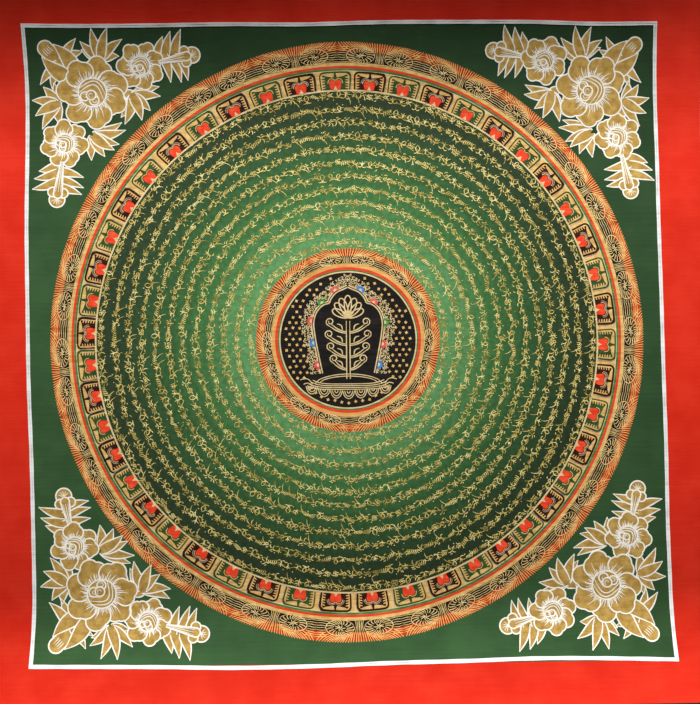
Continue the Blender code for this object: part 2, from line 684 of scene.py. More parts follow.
@dataclass
class PaintFilm:
    """Gathers closed pieces of one paint in flat coordinates, and lays them on the cloth as one mesh."""

    name: str
    finish: Paint
    coat: Coat
    points: list[Array] = field(default_factory=list)
    faces: list[Array] = field(default_factory=list)
    count: int = 0

    def add(self, points: Array, *faces: Array) -> None:
        """Add points and arrays of faces.

        Args:
            points: (n, 3) points.
            faces: arrays of faces that number the points from 0.
        """
        self.points.append(points)
        self.faces.extend(group + self.count for group in faces)
        self.count += len(points)

    def heights(self, copies: int, lift: Any) -> Array:
        """Height of each copy: the coat's own, plus the given lift or a small step from copy to copy.

        Args:
            copies: how many there are.
            lift: one number, one for each copy, or None for the small step.

        Returns:
            (copies, 1, 1) heights, mm.
        """
        if lift is None:
            lift = STAGGER * (np.arange(copies) % STAGGER_ROUND)
        return (self.coat.value + np.broadcast_to(lift, (copies,)))[:, None, None]

    def strips(
        self, left: Array, right: Array, across: int = 1, closed: bool = False, lift: Any = None
    ) -> None:
        """Add strips of paint between two edge lines.

        Formula: at each station the top runs straight from the left edge to the right one in equal steps. A
        wide strip has an underside in the same steps, and a narrow one has one keel point below its middle.
        Sections are joined by four-sided faces.

        Args:
            left: (k, n, 2) left edges.
            right: (k, n, 2) right edges.
            across: steps across the top.
            closed: True where the last station joins the first.
            lift: height above the coat's own, one number or (k,), so that what is painted later lies on top.
        """
        forward = np.roll(left, -1, axis=1) - left
        over = left - right
        sense = (forward[..., 0] * over[..., 1] - forward[..., 1] * over[..., 0])[:, :-1].sum(axis=1)
        swap = (sense < 0.0)[:, None, None]
        left, right = np.where(swap, right, left), np.where(swap, left, right)
        share = shares(across + 1)[None, None, :, None]
        top = left[:, :, None] * (1.0 - share) + right[:, :, None] * share
        copies, stations = left.shape[:2]
        rise = self.heights(copies, lift)[..., None]
        top = np.concatenate((top, np.broadcast_to(rise, (*top.shape[:3], 1))), axis=-1)
        under = (top[:, :, ::-1] if across > 1 else top.mean(axis=2, keepdims=True)).copy()
        under[..., 2] = -KEEL_DEPTH
        section = np.concatenate((top, under), axis=2)
        size = section.shape[2]
        number = np.arange(copies * stations * size).reshape(copies, stations, size)
        ahead = np.roll(number, -1, axis=1)
        here, there = (number, ahead) if closed else (number[:, :-1], number[:, 1:])
        quads = joined(here, np.roll(here, -1, axis=2), np.roll(there, -1, axis=2), there)
        ends = [] if closed else [number[:, 0, ::-1], number[:, -1]]
        self.add(section.reshape(-1, 3), quads.reshape(-1, 4), *ends)

    def strokes(
        self, paths: Array, half_widths: Array | float, closed: bool = False, lift: Any = None
    ) -> None:
        """Add brush strokes along paths.

        Formula: each edge is the path moved sideways by the half width, square to the path's own direction.

        Args:
            paths: (k, n, 2) middle lines.
            half_widths: one number, (n,) or (k, n).
            closed: True where each path is a loop.
            lift: as for strips.
        """
        paths = paths[None] if paths.ndim == 2 else paths
        if closed:
            looped = np.concatenate((paths[:, -1:], paths, paths[:, :1]), axis=1)
            side = square_to(looped)[:, 1:-1]
        else:
            side = square_to(paths)
        side = side * np.broadcast_to(np.maximum(half_widths, THINNEST), paths.shape[:2])[..., None]
        self.strips(paths + side, paths - side, closed=closed, lift=lift)

    def spots(self, outlines: Array, lift: Any = None) -> None:
        """Add small round-about spots, each a fan from its middle with a keel point below.

        Args:
            outlines: (k, n, 2) outlines, clockwise or not.
            lift: as for strips.
        """
        after = np.roll(outlines, -1, axis=1)
        area = (outlines[..., 0] * after[..., 1] - outlines[..., 1] * after[..., 0]).sum(axis=1)
        outlines = np.where((area < 0.0)[:, None, None], outlines[:, ::-1], outlines)
        copies, rim = outlines.shape[:2]
        rise = self.heights(copies, lift)
        middle = outlines.mean(axis=1, keepdims=True)
        edge = np.concatenate((outlines, np.broadcast_to(rise, (copies, rim, 1))), axis=-1)
        crown = np.concatenate((middle, rise), axis=-1)
        keel = np.concatenate((middle, np.full((copies, 1, 1), -KEEL_DEPTH)), axis=-1)
        number = np.arange(copies * (rim + 2)).reshape(copies, rim + 2)
        here, there = number[:, :rim], np.roll(number[:, :rim], -1, axis=1)
        hub = np.broadcast_to(number[:, rim : rim + 1], here.shape)
        foot = np.broadcast_to(number[:, rim + 1 :], here.shape)
        corners = ((here, there, hub), (there, here, foot))
        fans = [joined(*three).reshape(-1, 3) for three in corners]
        self.add(np.concatenate((edge, crown, keel), axis=1).reshape(-1, 3), *fans)

    def ring(self, inner: Any, outer: Any, across: int = 1, around: int = 480) -> None:
        """Add a flat ring round the mandala's middle.

        Args:
            inner: inner radius, one number or (around,).
            outer: outer radius, likewise.
            across: steps across it.
            around: steps round it.
        """
        angle = all_round(around)
        edges = [on_ring(np.broadcast_to(edge, angle.shape), angle)[None] for edge in (inner, outer)]
        self.strips(*edges, across=across, closed=True)

    def lay(self) -> bpy.types.Object:
        """Lay the film on the bent cloth and dress it.

        Returns:
            The finished piece, riding on the root body.
        """
        flat = np.concatenate(self.points)
        mesh = bpy.data.meshes.new(self.name)
        corners = np.concatenate([group.ravel() for group in self.faces])
        sizes = np.concatenate([np.full(len(group), group.shape[1]) for group in self.faces])
        mesh.vertices.add(len(flat))
        mesh.vertices.foreach_set("co", FORM.place(flat).astype(np.float32).ravel())
        mesh.loops.add(len(corners))
        mesh.loops.foreach_set("vertex_index", corners.astype(np.int32))
        mesh.polygons.add(len(sizes))
        mesh.polygons.foreach_set("loop_start", (np.cumsum(sizes) - sizes).astype(np.int32))
        mesh.update(calc_edges=True)
        mesh.validate()
        return dress(mesh, flat, [self.finish])


def dress(mesh: bpy.types.Mesh, flat: Array, finishes: list[Paint]) -> bpy.types.Object:
    """Give a mesh its flat map, its smooth shading and its finishes, and let it ride on the root body.

    Args:
        mesh: the finished mesh.
        flat: u, v and height of each of its points, mm.
        finishes: one for each material slot.

    Returns:
        The new object.
    """
    corner = np.empty(len(mesh.loops), np.int32)
    mesh.loops.foreach_get("vertex_index", corner)
    places = flat[:, :2] / FORM.size_mm + 0.5
    layer = mesh.uv_layers.new(name=FLAT_MAP)
    layer.uv.foreach_set("vector", places[corner].astype(np.float32).ravel())
    mesh.shade_smooth()
    mesh.set_sharp_from_angle(angle=SHARP_ABOVE)
    for finish in finishes:
        mesh.materials.append(bpy.data.materials.get(finish.name) or finish.material())
    piece = bpy.data.objects.new(mesh.name, mesh)
    bpy.context.scene.collection.objects.link(piece)
    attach(piece, "root")
    mesh.calc_loop_triangles()
    LOG.info("%s: %d triangles", piece.name, len(mesh.loop_triangles))
    return piece


# ---- the cloth and its border


@dataclass(frozen=True)
class CanvasCloth:
    """The sheet of cotton itself: red paint on its face, bare cloth on its back and its cut edges."""

    columns: int = 76
    rows: int = 152

    def build(self) -> bpy.types.Object:
        """A grid over the cloth, once at its face and once at its back, joined round the cut edge.

        Returns:
            The sheet.
        """
        steps = (self.columns, self.rows)
        u, v = (np.linspace(-0.5, 0.5, count + 1) * size for count, size in zip(steps, FORM.size_mm))
        v_grid, u_grid = np.meshgrid(v, u, indexing="ij")
        face = joined(u_grid, v_grid, np.zeros_like(u_grid)).reshape(-1, 3)
        flat = np.concatenate((face, face - (0.0, 0.0, FORM.thickness / MM)))
        number = np.arange(len(face)).reshape(u_grid.shape)
        square = (number[:-1, :-1], number[:-1, 1:], number[1:, 1:], number[1:, :-1])
        top = joined(*square).reshape(-1, 4)
        rim = np.concatenate((number[0, :-1], number[:-1, -1], number[-1, :0:-1], number[:0:-1, 0]))
        ahead, below = np.roll(rim, -1), len(face)
        wall = joined(rim, rim + below, ahead + below, ahead)
        faces = np.concatenate((top, top[:, ::-1] + below, wall))
        mesh = bpy.data.meshes.new("canvas_cloth")
        mesh.from_pydata(FORM.place(flat).tolist(), [], faces.tolist())
        piece = dress(mesh, flat, [RED_BORDER, RAW_COTTON])
        bare = np.arange(len(faces)) >= len(top)
        mesh.polygons.foreach_set("material_index", bare.astype(np.int32))
        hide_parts("painted_canvas")
        return piece


class RuledRow(NamedTuple):
    """Where the border's four sides lie, in millimetres from the cloth's middle, at one place along them."""

    along: float
    left: float
    right: float
    head: float
    foot: float


@dataclass(frozen=True)
class Border:
    """The hand-ruled double white line round the green ground."""

    rows: tuple[RuledRow, ...] = table(
        RuledRow,
        (-330.0, -324.4, 338.2, 326.6, -334.3),
        (-270.0, -324.0, 337.7, 326.2, -335.4),
        (-200.0, -325.3, 336.3, 326.6, -336.7),
        (-120.0, -327.3, 336.3, 327.7, -338.8),
        (-40.0, -330.3, 335.2, 327.6, -338.6),
        (40.0, -331.6, 334.6, 329.7, -336.8),
        (120.0, -332.6, 333.4, 329.9, -336.0),
        (200.0, -331.7, 332.7, 329.8, -334.7),
        (270.0, -330.7, 330.4, 328.1, -335.9),
        (330.0, -331.8, 328.9, 328.8, -337.8),
    )
    line_width: float = 1.8
    line_gap: float = 2.1
    unevenness: float = 0.12
    steps: int = 120
    ground_steps: int = 44

    def side(self, offs: Array, upright: bool, shift: float, first: float, last: float) -> Array:
        """One side of the outline, or of a line parallel to it.

        Args:
            offs: the side's column of the table.
            upright: True for the left and right sides.
            shift: added to the distances.
            first: where it starts along its length.
            last: where it ends.

        Returns:
            (steps, 2) points, half a line's width longer at both ends, so that corners are square.
        """
        along = np.array(self.rows)[:, 0]
        run = np.linspace(first - self.line_width / 2.0, last + self.line_width / 2.0, self.steps)
        off = smooth_through(along, offs, run) + shift
        return joined(off, run) if upright else joined(run, off)

    def sides(self, out: float = 0.0) -> Array:
        """The four sides, from corner to corner, of the outline or of a line outside it.

        Args:
            out: how far outside.

        Returns:
            Left, right, head and foot, (4, steps, 2).
        """
        _, left, right, head, foot = np.array(self.rows).T
        uprights = [
            self.side(left, True, -out, foot[0] - out, head[0] + out),
            self.side(right, True, out, foot[-1] - out, head[-1] + out),
        ]
        levels = [
            self.side(head, False, out, left[-1] - out, right[-1] + out),
            self.side(foot, False, -out, left[0] - out, right[0] + out),
        ]
        return np.stack(uprights + levels)

    def build(self) -> Pieces:
        """The green ground, a thin grey wash, and the line's two strokes on it.

        Returns:
            The pieces.
        """
        ground = PaintFilm("green_ground", GREEN_GROUND, Coat.GROUND)
        left, right = self.sides()[:2]
        ground.strips(left[None], right[None], across=self.ground_steps)
        grey = PaintFilm("border_line_wash", BORDER_GREY, Coat.BAND)
        grey.strokes(self.sides(), self.line_gap / 2.0)
        white = PaintFilm("border_line_white", BORDER_WHITE, Coat.LINE)
        uneven = 0.5 * self.line_width * (1.0 + self.unevenness * np.sin(np.arange(self.steps) * 0.9))
        for outward in (-0.5 * self.line_gap, 0.5 * self.line_gap):
            white.strokes(self.sides(outward), uneven)
        return [ground.lay(), grey.lay(), white.lay()]


# ---- the rings


@dataclass(frozen=True)
class FlameRing:
    """A ring of spoked wheels on black, under a rim of combed flames. Wheels come in mirrored pairs.

    Half a pair is drawn with x along the ring, from the fountain between the pair's wheels to the valley
    between two pairs, and with the radius as y.
    """

    name: str
    wheel_inner: float
    wheel_outer: float
    rim: float
    pairs: int
    first: float
    wheel_half_length: float
    wheel_half_height: float
    wheel_lift: float
    spokes: int
    flames: int
    lean: float
    line: float
    wheel_line: float
    drift: tuple[DriftRow, ...] = table(DriftRow, (0.0, 0.0), (360.0, 0.0))

    def drifted(self, radius: Array | float, angle: Array) -> Array:
        """Radius as the hand drew it: the rim is off by its drift at each angle, and the inner line is true.

        Args:
            radius: radius on a true ring.
            angle: radians, clockwise from the head.

        Returns:
            The radius on the cloth.
        """
        angles, offs = np.array(self.drift).T
        off = np.interp(np.degrees(angle) % 360.0, angles, offs)
        return radius + off * (radius - self.wheel_inner) / (self.rim - self.wheel_inner)

    @property
    def half_pair(self) -> float:
        """Half the run of a pair of wheels, measured along the line between wheels and flames."""
        return np.pi * self.wheel_outer / self.pairs

    @property
    def wheel_middle(self) -> Pair:
        """Where the wheel's middle lies: x from the pair's middle, and radius."""
        return self.half_pair * 0.45, (self.wheel_inner + self.wheel_outer) / 2.0 + self.wheel_lift

    def round_ring(self, strokes: Array, jitter: float, seed: int) -> Array:
        """Repeat strokes of half a pair all round, mirrored in turn.

        Formula: x along the ring becomes an angle from the pair's middle, y is the radius. Each copy is
        shifted a little, as a hand repeats it.

        Args:
            strokes: (s, n, 2) x and radius.
            jitter: shift of each stroke, mm.
            seed: start of the random shifts.

        Returns:
            (2 * pairs * s, n, 2) strokes.
        """
        shake = np.random.default_rng(seed).normal(0.0, jitter, (2 * self.pairs, len(strokes), 1, 2))
        local = strokes[None] + shake
        sign = np.tile([-1.0, 1.0], self.pairs)[:, None, None]
        middle = (np.repeat(np.arange(self.pairs), 2) / self.pairs * TURN + self.first)[:, None, None]
        angle = middle + sign * local[..., 0] / self.wheel_outer
        return on_ring(self.drifted(local[..., 1], angle), angle).reshape(-1, *strokes.shape[1:])

    def wheel(self, share: Array | float, turn: Array) -> Array:
        """Points of the oval wheel.

        Args:
            share: share of its radius.
            turn: angle from the x axis, in radians.

        Returns:
            x and radius in the last axis.
        """
        x, radius = self.wheel_middle
        along, out = self.wheel_half_length * np.cos(turn), self.wheel_half_height * np.sin(turn)
        return joined(x + share * along, radius + share * out)

    def spoke_strokes(self) -> Array:
        """Curved spokes, equally far apart on the oval: long ones round it, and short ones in its hub.

        Returns:
            (s, 4, 2) strokes.
        """
        t = shares(4)[None]
        even = all_round(self.spokes)[:, None]
        start = even + 0.18 * np.sin(2.0 * even)
        long = self.wheel(0.45 + 0.52 * t, start + 0.24 * t * t)
        short = self.wheel(0.04 + 0.33 * t, start[::3] + 0.4 * t)
        return np.concatenate((long, short))

    def bar_strokes(self) -> Array:
        """Upright strokes at the fountain, and level ones from the wheel to the valley, on the black.

        Returns:
            (s, 6, 2) strokes.
        """
        height = self.wheel_outer - self.wheel_inner
        x_middle, r_middle = self.wheel_middle
        t = shares(6)[None]
        place = (np.arange(3)[:, None] + 0.3) / 3.0
        x = place * (x_middle - self.wheel_half_length) * (0.85 + 0.30 * (2.0 * t - 1.0) ** 2)
        upright = joined(x, np.broadcast_to(self.wheel_inner + 0.4 + t * height, x.shape))
        count = int(round(height / 2.1))
        level = (np.arange(count)[:, None] + 0.5) / count
        y = self.wheel_inner + level * height + 0.25 * np.sin(TURN * t + level * 5.0)
        off = np.clip((y[:, :1] - r_middle) / self.wheel_half_height, -1.0, 1.0)
        start = x_middle + (self.wheel_half_length + 0.9) * np.sqrt(1.0 - off * off)
        x = start + (self.half_pair - 0.1 - start) * t
        return np.concatenate((upright, joined(x, y)))

    def flame_strokes(self) -> Array:
        """Combed flames that leave the wheel's top or the black band and lean away from the fountain.

        Formula: tips stand at even steps along the rim. The lean grows from the fountain to the wheel as a
        smooth step. A stroke starts on the wheel's oval, or on the black band beside it, and turns up.

        Returns:
            (flames, 7, 2) strokes.
        """
        place = ((np.arange(self.flames) + 0.5) / self.flames)[:, None]
        ease = np.clip(place / 0.6, 0.0, 1.0)
        lean = self.lean * (0.08 + 0.92 * ease * ease * (3.0 - 2.0 * ease))
        t = shares(7)[None]
        tip = place * self.half_pair
        foot = np.maximum(tip - lean, 0.12)
        x_middle, r_middle = self.wheel_middle
        off = np.clip((foot - x_middle) / (self.wheel_half_length * 1.05), -1.0, 1.0)
        oval = r_middle + self.wheel_half_height * 1.12 * np.sqrt(1.0 - off * off)
        start = np.maximum(oval, self.wheel_outer + 0.2)
        x = foot + (tip - foot) * t**0.85
        y = start + (self.rim + 0.5 - start) * t**1.35
        return joined(x, y)

    def valley_strokes(self) -> Array:
        """Level strokes in the flame band, from the wheel's end to the valley.

        Returns:
            (3, 6, 2) strokes.
        """
        t = shares(6)[None]
        level = (np.arange(3)[:, None] + 0.6) / 5.0
        start = self.wheel_middle[0] + self.wheel_half_length * (1.03 - 0.25 * level)
        x = start + (self.half_pair - start) * t
        y = self.wheel_outer + (self.rim - self.wheel_outer) * (level + 0.10 * t * t)
        return joined(x, y)

    def grounds(self, flames: Array) -> list[PaintFilm]:
        """The flame ground with its toothed rim, and the black ground with an oval under each wheel.

        Args:
            flames: the flame strokes.

        Returns:
            The two films.
        """
        turn = all_round(480)
        border, rim = self.drifted(self.wheel_outer, turn), self.drifted(self.rim - 0.6, turn)
        orange = PaintFilm(f"{self.name}_flame_ground", ORANGE, Coat.BAND)
        orange.ring(border, rim, across=2)
        orange.strokes(self.round_ring(flames[:, 3:], 0.05, 3), brush(4, self.line * 2.0, 0.9, 0.2))
        black = PaintFilm(f"{self.name}_wheel_ground", SOOT_BLACK, Coat.BAND)
        black.ring(self.wheel_inner, border, across=2)
        around = all_round(24)
        oval = self.wheel(np.where(np.sin(around) > 0.0, 0.74, 0.95), around)
        black.spots(self.round_ring(oval[None], 0.0, 4), lift=0.01)
        return [orange, black]

    def build(self) -> Pieces:
        """Flame ground, black ground, flames, wheels and their gold.

        Returns:
            The pieces.
        """
        flames = self.flame_strokes()
        red = PaintFilm(f"{self.name}_flame_red", FLAME_RED, Coat.FILL)
        between = (flames - (self.half_pair / self.flames * 0.42, 0.0))[:, :6]
        red.strokes(self.round_ring(between, 0.10, 5), brush(6, self.line * 1.05, 0.6, 0.3))
        top = np.linspace(0.10, 0.90, self.spokes // 2)[:, None] * np.pi
        under = self.wheel(0.76 + 0.20 * shares(3)[None], top + 0.06)
        red.strokes(self.round_ring(under, 0.05, 6), brush(3, self.line, 0.8, 0.6))
        gold = PaintFilm(f"{self.name}_flame_gold", FLAME_GOLD, Coat.LINE)
        gold.strokes(self.round_ring(flames, 0.10, 7), brush(7, self.line * 0.85, 0.45, 0.6))
        gold.strokes(self.round_ring(self.valley_strokes(), 0.10, 8), brush(6, self.line * 0.8, 0.5, 0.4))
        wheels = PaintFilm(f"{self.name}_wheel_gold", WHEEL_GOLD, Coat.LINE)
        outline = self.wheel(1.0, np.pi * (1.05 - 1.95 * shares(20)))[None]
        wheels.strokes(self.round_ring(self.spoke_strokes(), 0.08, 9), brush(4, self.wheel_line, 0.6, 0.8))
        wheels.strokes(self.round_ring(outline, 0.08, 11), brush(20, self.wheel_line, 0.6, 0.6))
        bar = brush(6, self.wheel_line * 0.72, 0.8, 0.7)
        wheels.strokes(self.round_ring(self.bar_strokes(), 0.06, 13), bar)
        return [film.lay() for film in (*self.grounds(flames), red, gold, wheels)]


OUTER_FLAMES = FlameRing(
    name="outer_flames", wheel_inner=291.6, wheel_outer=303.0, rim=312.4, pairs=21, first=np.radians(6.9),
    wheel_half_length=15.2, wheel_half_height=7.9, wheel_lift=1.7, spokes=20, flames=17, lean=9.5, line=1.15,
    wheel_line=0.85, drift=table(
        DriftRow, (0.0, 0.0), (50.0, -0.7), (135.0, -0.7), (165.0, 0.5), (190.0, 0.5), (212.0, -1.0),
        (240.0, -2.6), (272.0, -2.6), (300.0, -0.6), (318.0, 0.0), (335.0, -0.9), (360.0, 0.0)
    ),
)
INNER_FLAMES = FlameRing(
    name="inner_flames", wheel_inner=80.4, wheel_outer=88.2, rim=96.4, pairs=7, first=np.radians(-0.5),
    wheel_half_length=12.2, wheel_half_height=5.0, wheel_lift=0.9, spokes=15, flames=14, lean=8.0, line=1.2,
    wheel_line=0.9,
)


class RingLine(NamedTuple):
    """One painted line round the middle."""

    name: str
    finish: Gouache
    inner: float
    outer: float


@dataclass(frozen=True)
class RingLines:
    """The plain lines and bands round the middle."""

    rows: tuple[RingLine, ...] = table(
        RingLine,
        ("outer_ochre_band", CELL_GOLD, 288.4, 291.8),
        ("outer_red_line", RED_LINE, 285.8, 288.4),
        ("outer_green_line", GREEN_LINE, 283.6, 285.8),
        ("outer_pale_line", PALE_GOLD, 282.4, 283.6),
        ("field_pale_line", PALE_GOLD, 262.4, 264.2),
        ("inner_ochre_band", OCHRE, 76.6, 80.6),
        ("inner_red_line", RED_LINE, 73.7, 76.6),
        ("inner_green_line", GREEN_LINE, 72.3, 73.7),
        ("inner_pale_line", PALE_GOLD, 70.9, 72.3),
    )

    def build(self) -> Pieces:
        """Paint each line in a film of its own.

        Returns:
            The pieces.
        """
        films = [PaintFilm(row.name, row.finish, Coat.FILL) for row in self.rows]
        for film, row in zip(films, self.rows):
            film.ring(row.inner, row.outer)
        return [film.lay() for film in films]


@dataclass(frozen=True)
class GradedField:
    """The graded green ground between the petals and the medallion, and the black disc of the medallion."""

    inner: float = 96.0
    outer: float = 263.0
    disc: float = 71.4
    tones: tuple[ToneRing, ...] = table(
        ToneRing, (0.10, "669E62"), (0.21, "62955A"), (0.31, "52834C"), (0.41, "477742"), (0.51, "426C3D"),
        (0.61, "3B6238"), (0.71, "385934"), (0.81, "354E30"), (0.90, "32462C"), (1.00, "32422B")
    )
    # painted shade: the graded green darkens towards the right and the foot, where less light falls
    shade: Shade = Shade(0.94, -0.0004, 0.0005, 1.08)

    def build(self) -> Pieces:
        """The field as a ring in narrow steps, and the disc with a spot that closes its middle.

        Returns:
            The pieces.
        """
        radii = (self.inner, self.outer)
        green = GradedGouache(
            "graded_green_gouache", MANDALA_CENTRE, radii, self.tones, roughness=0.8, shades=(self.shade,)
        )
        fieldwork = PaintFilm("graded_field", green, Coat.BAND)
        fieldwork.ring(self.inner, self.outer, across=24, around=240)
        disc = PaintFilm("medallion_disc", SOOT_BLACK, Coat.BAND)
        disc.ring(0.4, self.disc, across=6, around=120)
        disc.spots(on_ring(np.full(24, 0.6), all_round(24))[None])
        return [fieldwork.lay(), disc.lay()]


@dataclass(frozen=True)
class PetalRing:
    """The ring of lotus-petal cells, dark and green in turn, with two dark ones side by side near the foot.

    A cell is drawn in millimetres: x from its middle line, y outwards from the ring's inner edge. Its ground
    and the lobes of its heart are given by their left halves.
    """

    inner: float = 263.8
    outer: float = 282.8
    cells: int = 47
    first: float = 5.4
    twin_after: int = 23
    spacing: tuple[DriftRow, ...] = table(
        DriftRow, (-10.0, 0.3), (0.0, 0.0), (45.0, 0.2), (90.0, 1.9), (120.0, 2.5), (150.0, 0.3),
        (185.0, 1.9), (230.0, 2.5), (262.0, -0.7), (298.0, -2.5), (330.0, -0.8), (370.0, 0.2)
    )
    ground: tuple[Spot, ...] = table(
        Spot, (-13.6, 1.0), (-13.3, 15.4), (-12.2, 15.9), (-9.5, 14.6), (-6.0, 13.9), (-3.2, 13.2),
        (-1.6, 13.4), (-0.6, 18.2)
    )
    lobe: tuple[Spot, ...] = table(
        Spot, (-7.1, 6.2), (-6.6, 8.8), (-5.2, 10.1), (-3.4, 10.4), (-1.6, 9.8), (-0.4, 8.6)
    )
    notch: tuple[Spot, ...] = table(Spot, (-2.5, 0.1), (-1.1, 1.9), (0.0, 4.3), (1.1, 1.9), (2.5, 0.1))
    parting: tuple[Spot, ...] = table(Spot, (17.3, 0.4), (17.6, 8.0), (17.0, 15.5), (15.2, 18.4))
    dark_heart: Pair = (0.87, 0.94)
    green_heart: Pair = (0.92, 1.02)
    frame_side: float = 15.9
    frame_top: float = 18.3
    frame_corner: float = 4.4
    dark_frame_share: float = 1.35

    def angles(self) -> Array:
        """Angle of each cell.

        Returns:
            (cells,) radians.
        """
        even = self.first + 360.0 / self.cells * np.arange(self.cells)
        places, offs = np.array(self.spacing).T
        return np.radians(even + smooth_through(places, offs, even))

    def around(self, shapes: Array, angles: Array) -> Array:
        """Bend cell drawings round the ring: x becomes an angle and y a radius.

        Args:
            shapes: (s, n, 2) drawing of one cell.
            angles: (c,) angles of the cells.

        Returns:
            (c * s, n, 2) points.
        """
        angle = angles[:, None, None] + shapes[None, ..., 0] / ((self.inner + self.outer) / 2.0)
        radius = np.broadcast_to(self.inner + shapes[None, ..., 1], angle.shape)
        return on_ring(radius, angle).reshape(-1, *shapes.shape[1:])

    def frame(self) -> Array:
        """A cell's rounded outline, from its foot on one side over the top to the other.

        Returns:
            (1, n, 2) points.
        """
        side, top, corner = self.frame_side, self.frame_top, self.frame_corner
        turn = np.linspace(0.0, np.pi / 2.0, 6)
        bend = joined(side - corner + corner * np.cos(turn), top - corner + corner * np.sin(turn))
        return symmetric(((side - 0.5, 0.2), (side - 0.1, 7.0), *bend, (5.0, top + 0.1)))

    def heart(self, grow: float, size: Pair) -> tuple[Array, Array]:
        """Lower and upper edge of the two-lobed heart.

        Args:
            grow: how far it is drawn outside the heart's own outline.
            size: its width and height, as shares of the table's.

        Returns:
            (1, n, 2) lower and upper edges.
        """
        own_x, own_top = symmetric(self.lobe)[0].T
        x = own_x * (size[0] + grow / own_x.max())
        top = own_top * size[1] + grow * (1.0 - 0.5 * np.abs(own_x / own_x.max()) ** 3)
        return joined(x * 0.80, np.full_like(x, 0.3))[None], joined(x, top)[None]

    def teeth(self) -> Array:
        """Short comb strokes from both flanks.

        Returns:
            (10, 4, 2) strokes.
        """
        rows = np.array([2.2, 4.9, 7.5, 10.1, 12.8])[:, None]
        t = shares(4)[None]
        return both(joined(np.broadcast_to(-14.2 + 3.5 * t, (5, 4)), rows + 0.55 * t * t))

    def grounds(self, kinds: tuple[tuple[Any, ...], ...]) -> list[PaintFilm]:
        """The gold ring, and each cell's ground and frame on it.

        Args:
            kinds: name, finish, angles, frame's share of the usual width and heart's size of both kinds.

        Returns:
            The three films.
        """
        gold = PaintFilm("petal_ring_gold", CELL_GOLD, Coat.BAND)
        gold.ring(self.inner, self.outer, across=3)
        high = symmetric(self.ground)
        low = high * (1.0, 0.0) + (0.0, 0.3)
        run = shares(18)
        half_width = 0.5 * np.interp(run, (0.0, 0.2, 0.28, 0.42, 1.0), (1.5, 2.1, 2.8, 1.7, 1.3))
        films = [gold]
        for name, finish, own, frame_share, _ in kinds:
            film = PaintFilm(f"petal_cells_{name}", finish, Coat.FILL)
            film.strips(self.around(low, own), self.around(high, own), across=4)
            film.strokes(self.around(self.frame(), own), half_width * frame_share)
            films.append(film)
        return films

    def build(self) -> Pieces:
        """Gold ground, cell grounds, frames, teeth, hearts and their outlines.

        Returns:
            The pieces.
        """
        angles = self.angles()
        number = np.arange(self.cells)
        dark = (number + (number >= self.twin_after)) % 2 == 0
        kinds = (
            ("dark", CELL_BLACK, angles[dark], self.dark_frame_share, self.dark_heart),
            ("green", CELL_GREEN, angles[~dark], 1.0, self.green_heart),
        )
        detail = PaintFilm("petal_teeth", CELL_GOLD, Coat.SECOND_FILL)
        detail.strokes(self.around(self.teeth(), angles), brush(4, 1.3, 1.0, 0.5))
        grey = PaintFilm("petal_grey_line", PEARL_GREY, Coat.SECOND_FILL)
        grey.strokes(self.around(self.heart(2.8, self.dark_heart)[1], angles[dark]), 0.36)
        grey.strokes(self.around(np.array(self.parting)[None], angles), 0.26)
        hearts = PaintFilm("petal_hearts", HEART_RED, Coat.LINE)
        for _, _, own, _, size in kinds:
            detail.strokes(self.around(self.heart(1.3, size)[1], own), 0.40)
            low, high = self.heart(0.0, size)
            hearts.strips(self.around(low, own), self.around(high, own), across=3)
        notches = PaintFilm("petal_notches", PALE_GOLD, Coat.TOP_LINE)
        wedge = np.array(self.notch)[None]
        notches.strips(self.around(wedge * (1.0, 0.0) + (0.0, 0.05), angles), self.around(wedge, angles))
        return [film.lay() for film in (*self.grounds(kinds), detail, grey, hearts, notches)]


# ---- the ornament rings


def leaf(x: float, y: float, length: float, degrees: float, bow: float = 0.2) -> Array:
    """One leaf stroke of a sprig.

    Args:
        x: where it starts along the row.
        y: where it starts outwards.
        length: its length, mm.
        degrees: its direction, anticlockwise from along the row.
        bow: its bend.

    Returns:
        (7, 2) points.
    """
    start, turn = np.array((x, y)), np.radians(degrees)
    return bowed(start, start + length * np.array((np.cos(turn), np.sin(turn))), bow, 7)[0]


def tendril(x: float, y: float, radius: float, start: float, turns: float) -> Array:
    """One curled stroke of a sprig, (7, 2): its middle, its radius, and its start and winding in turns."""
    return spiral((x, y), radius, radius * 0.3, start, turns, 7)


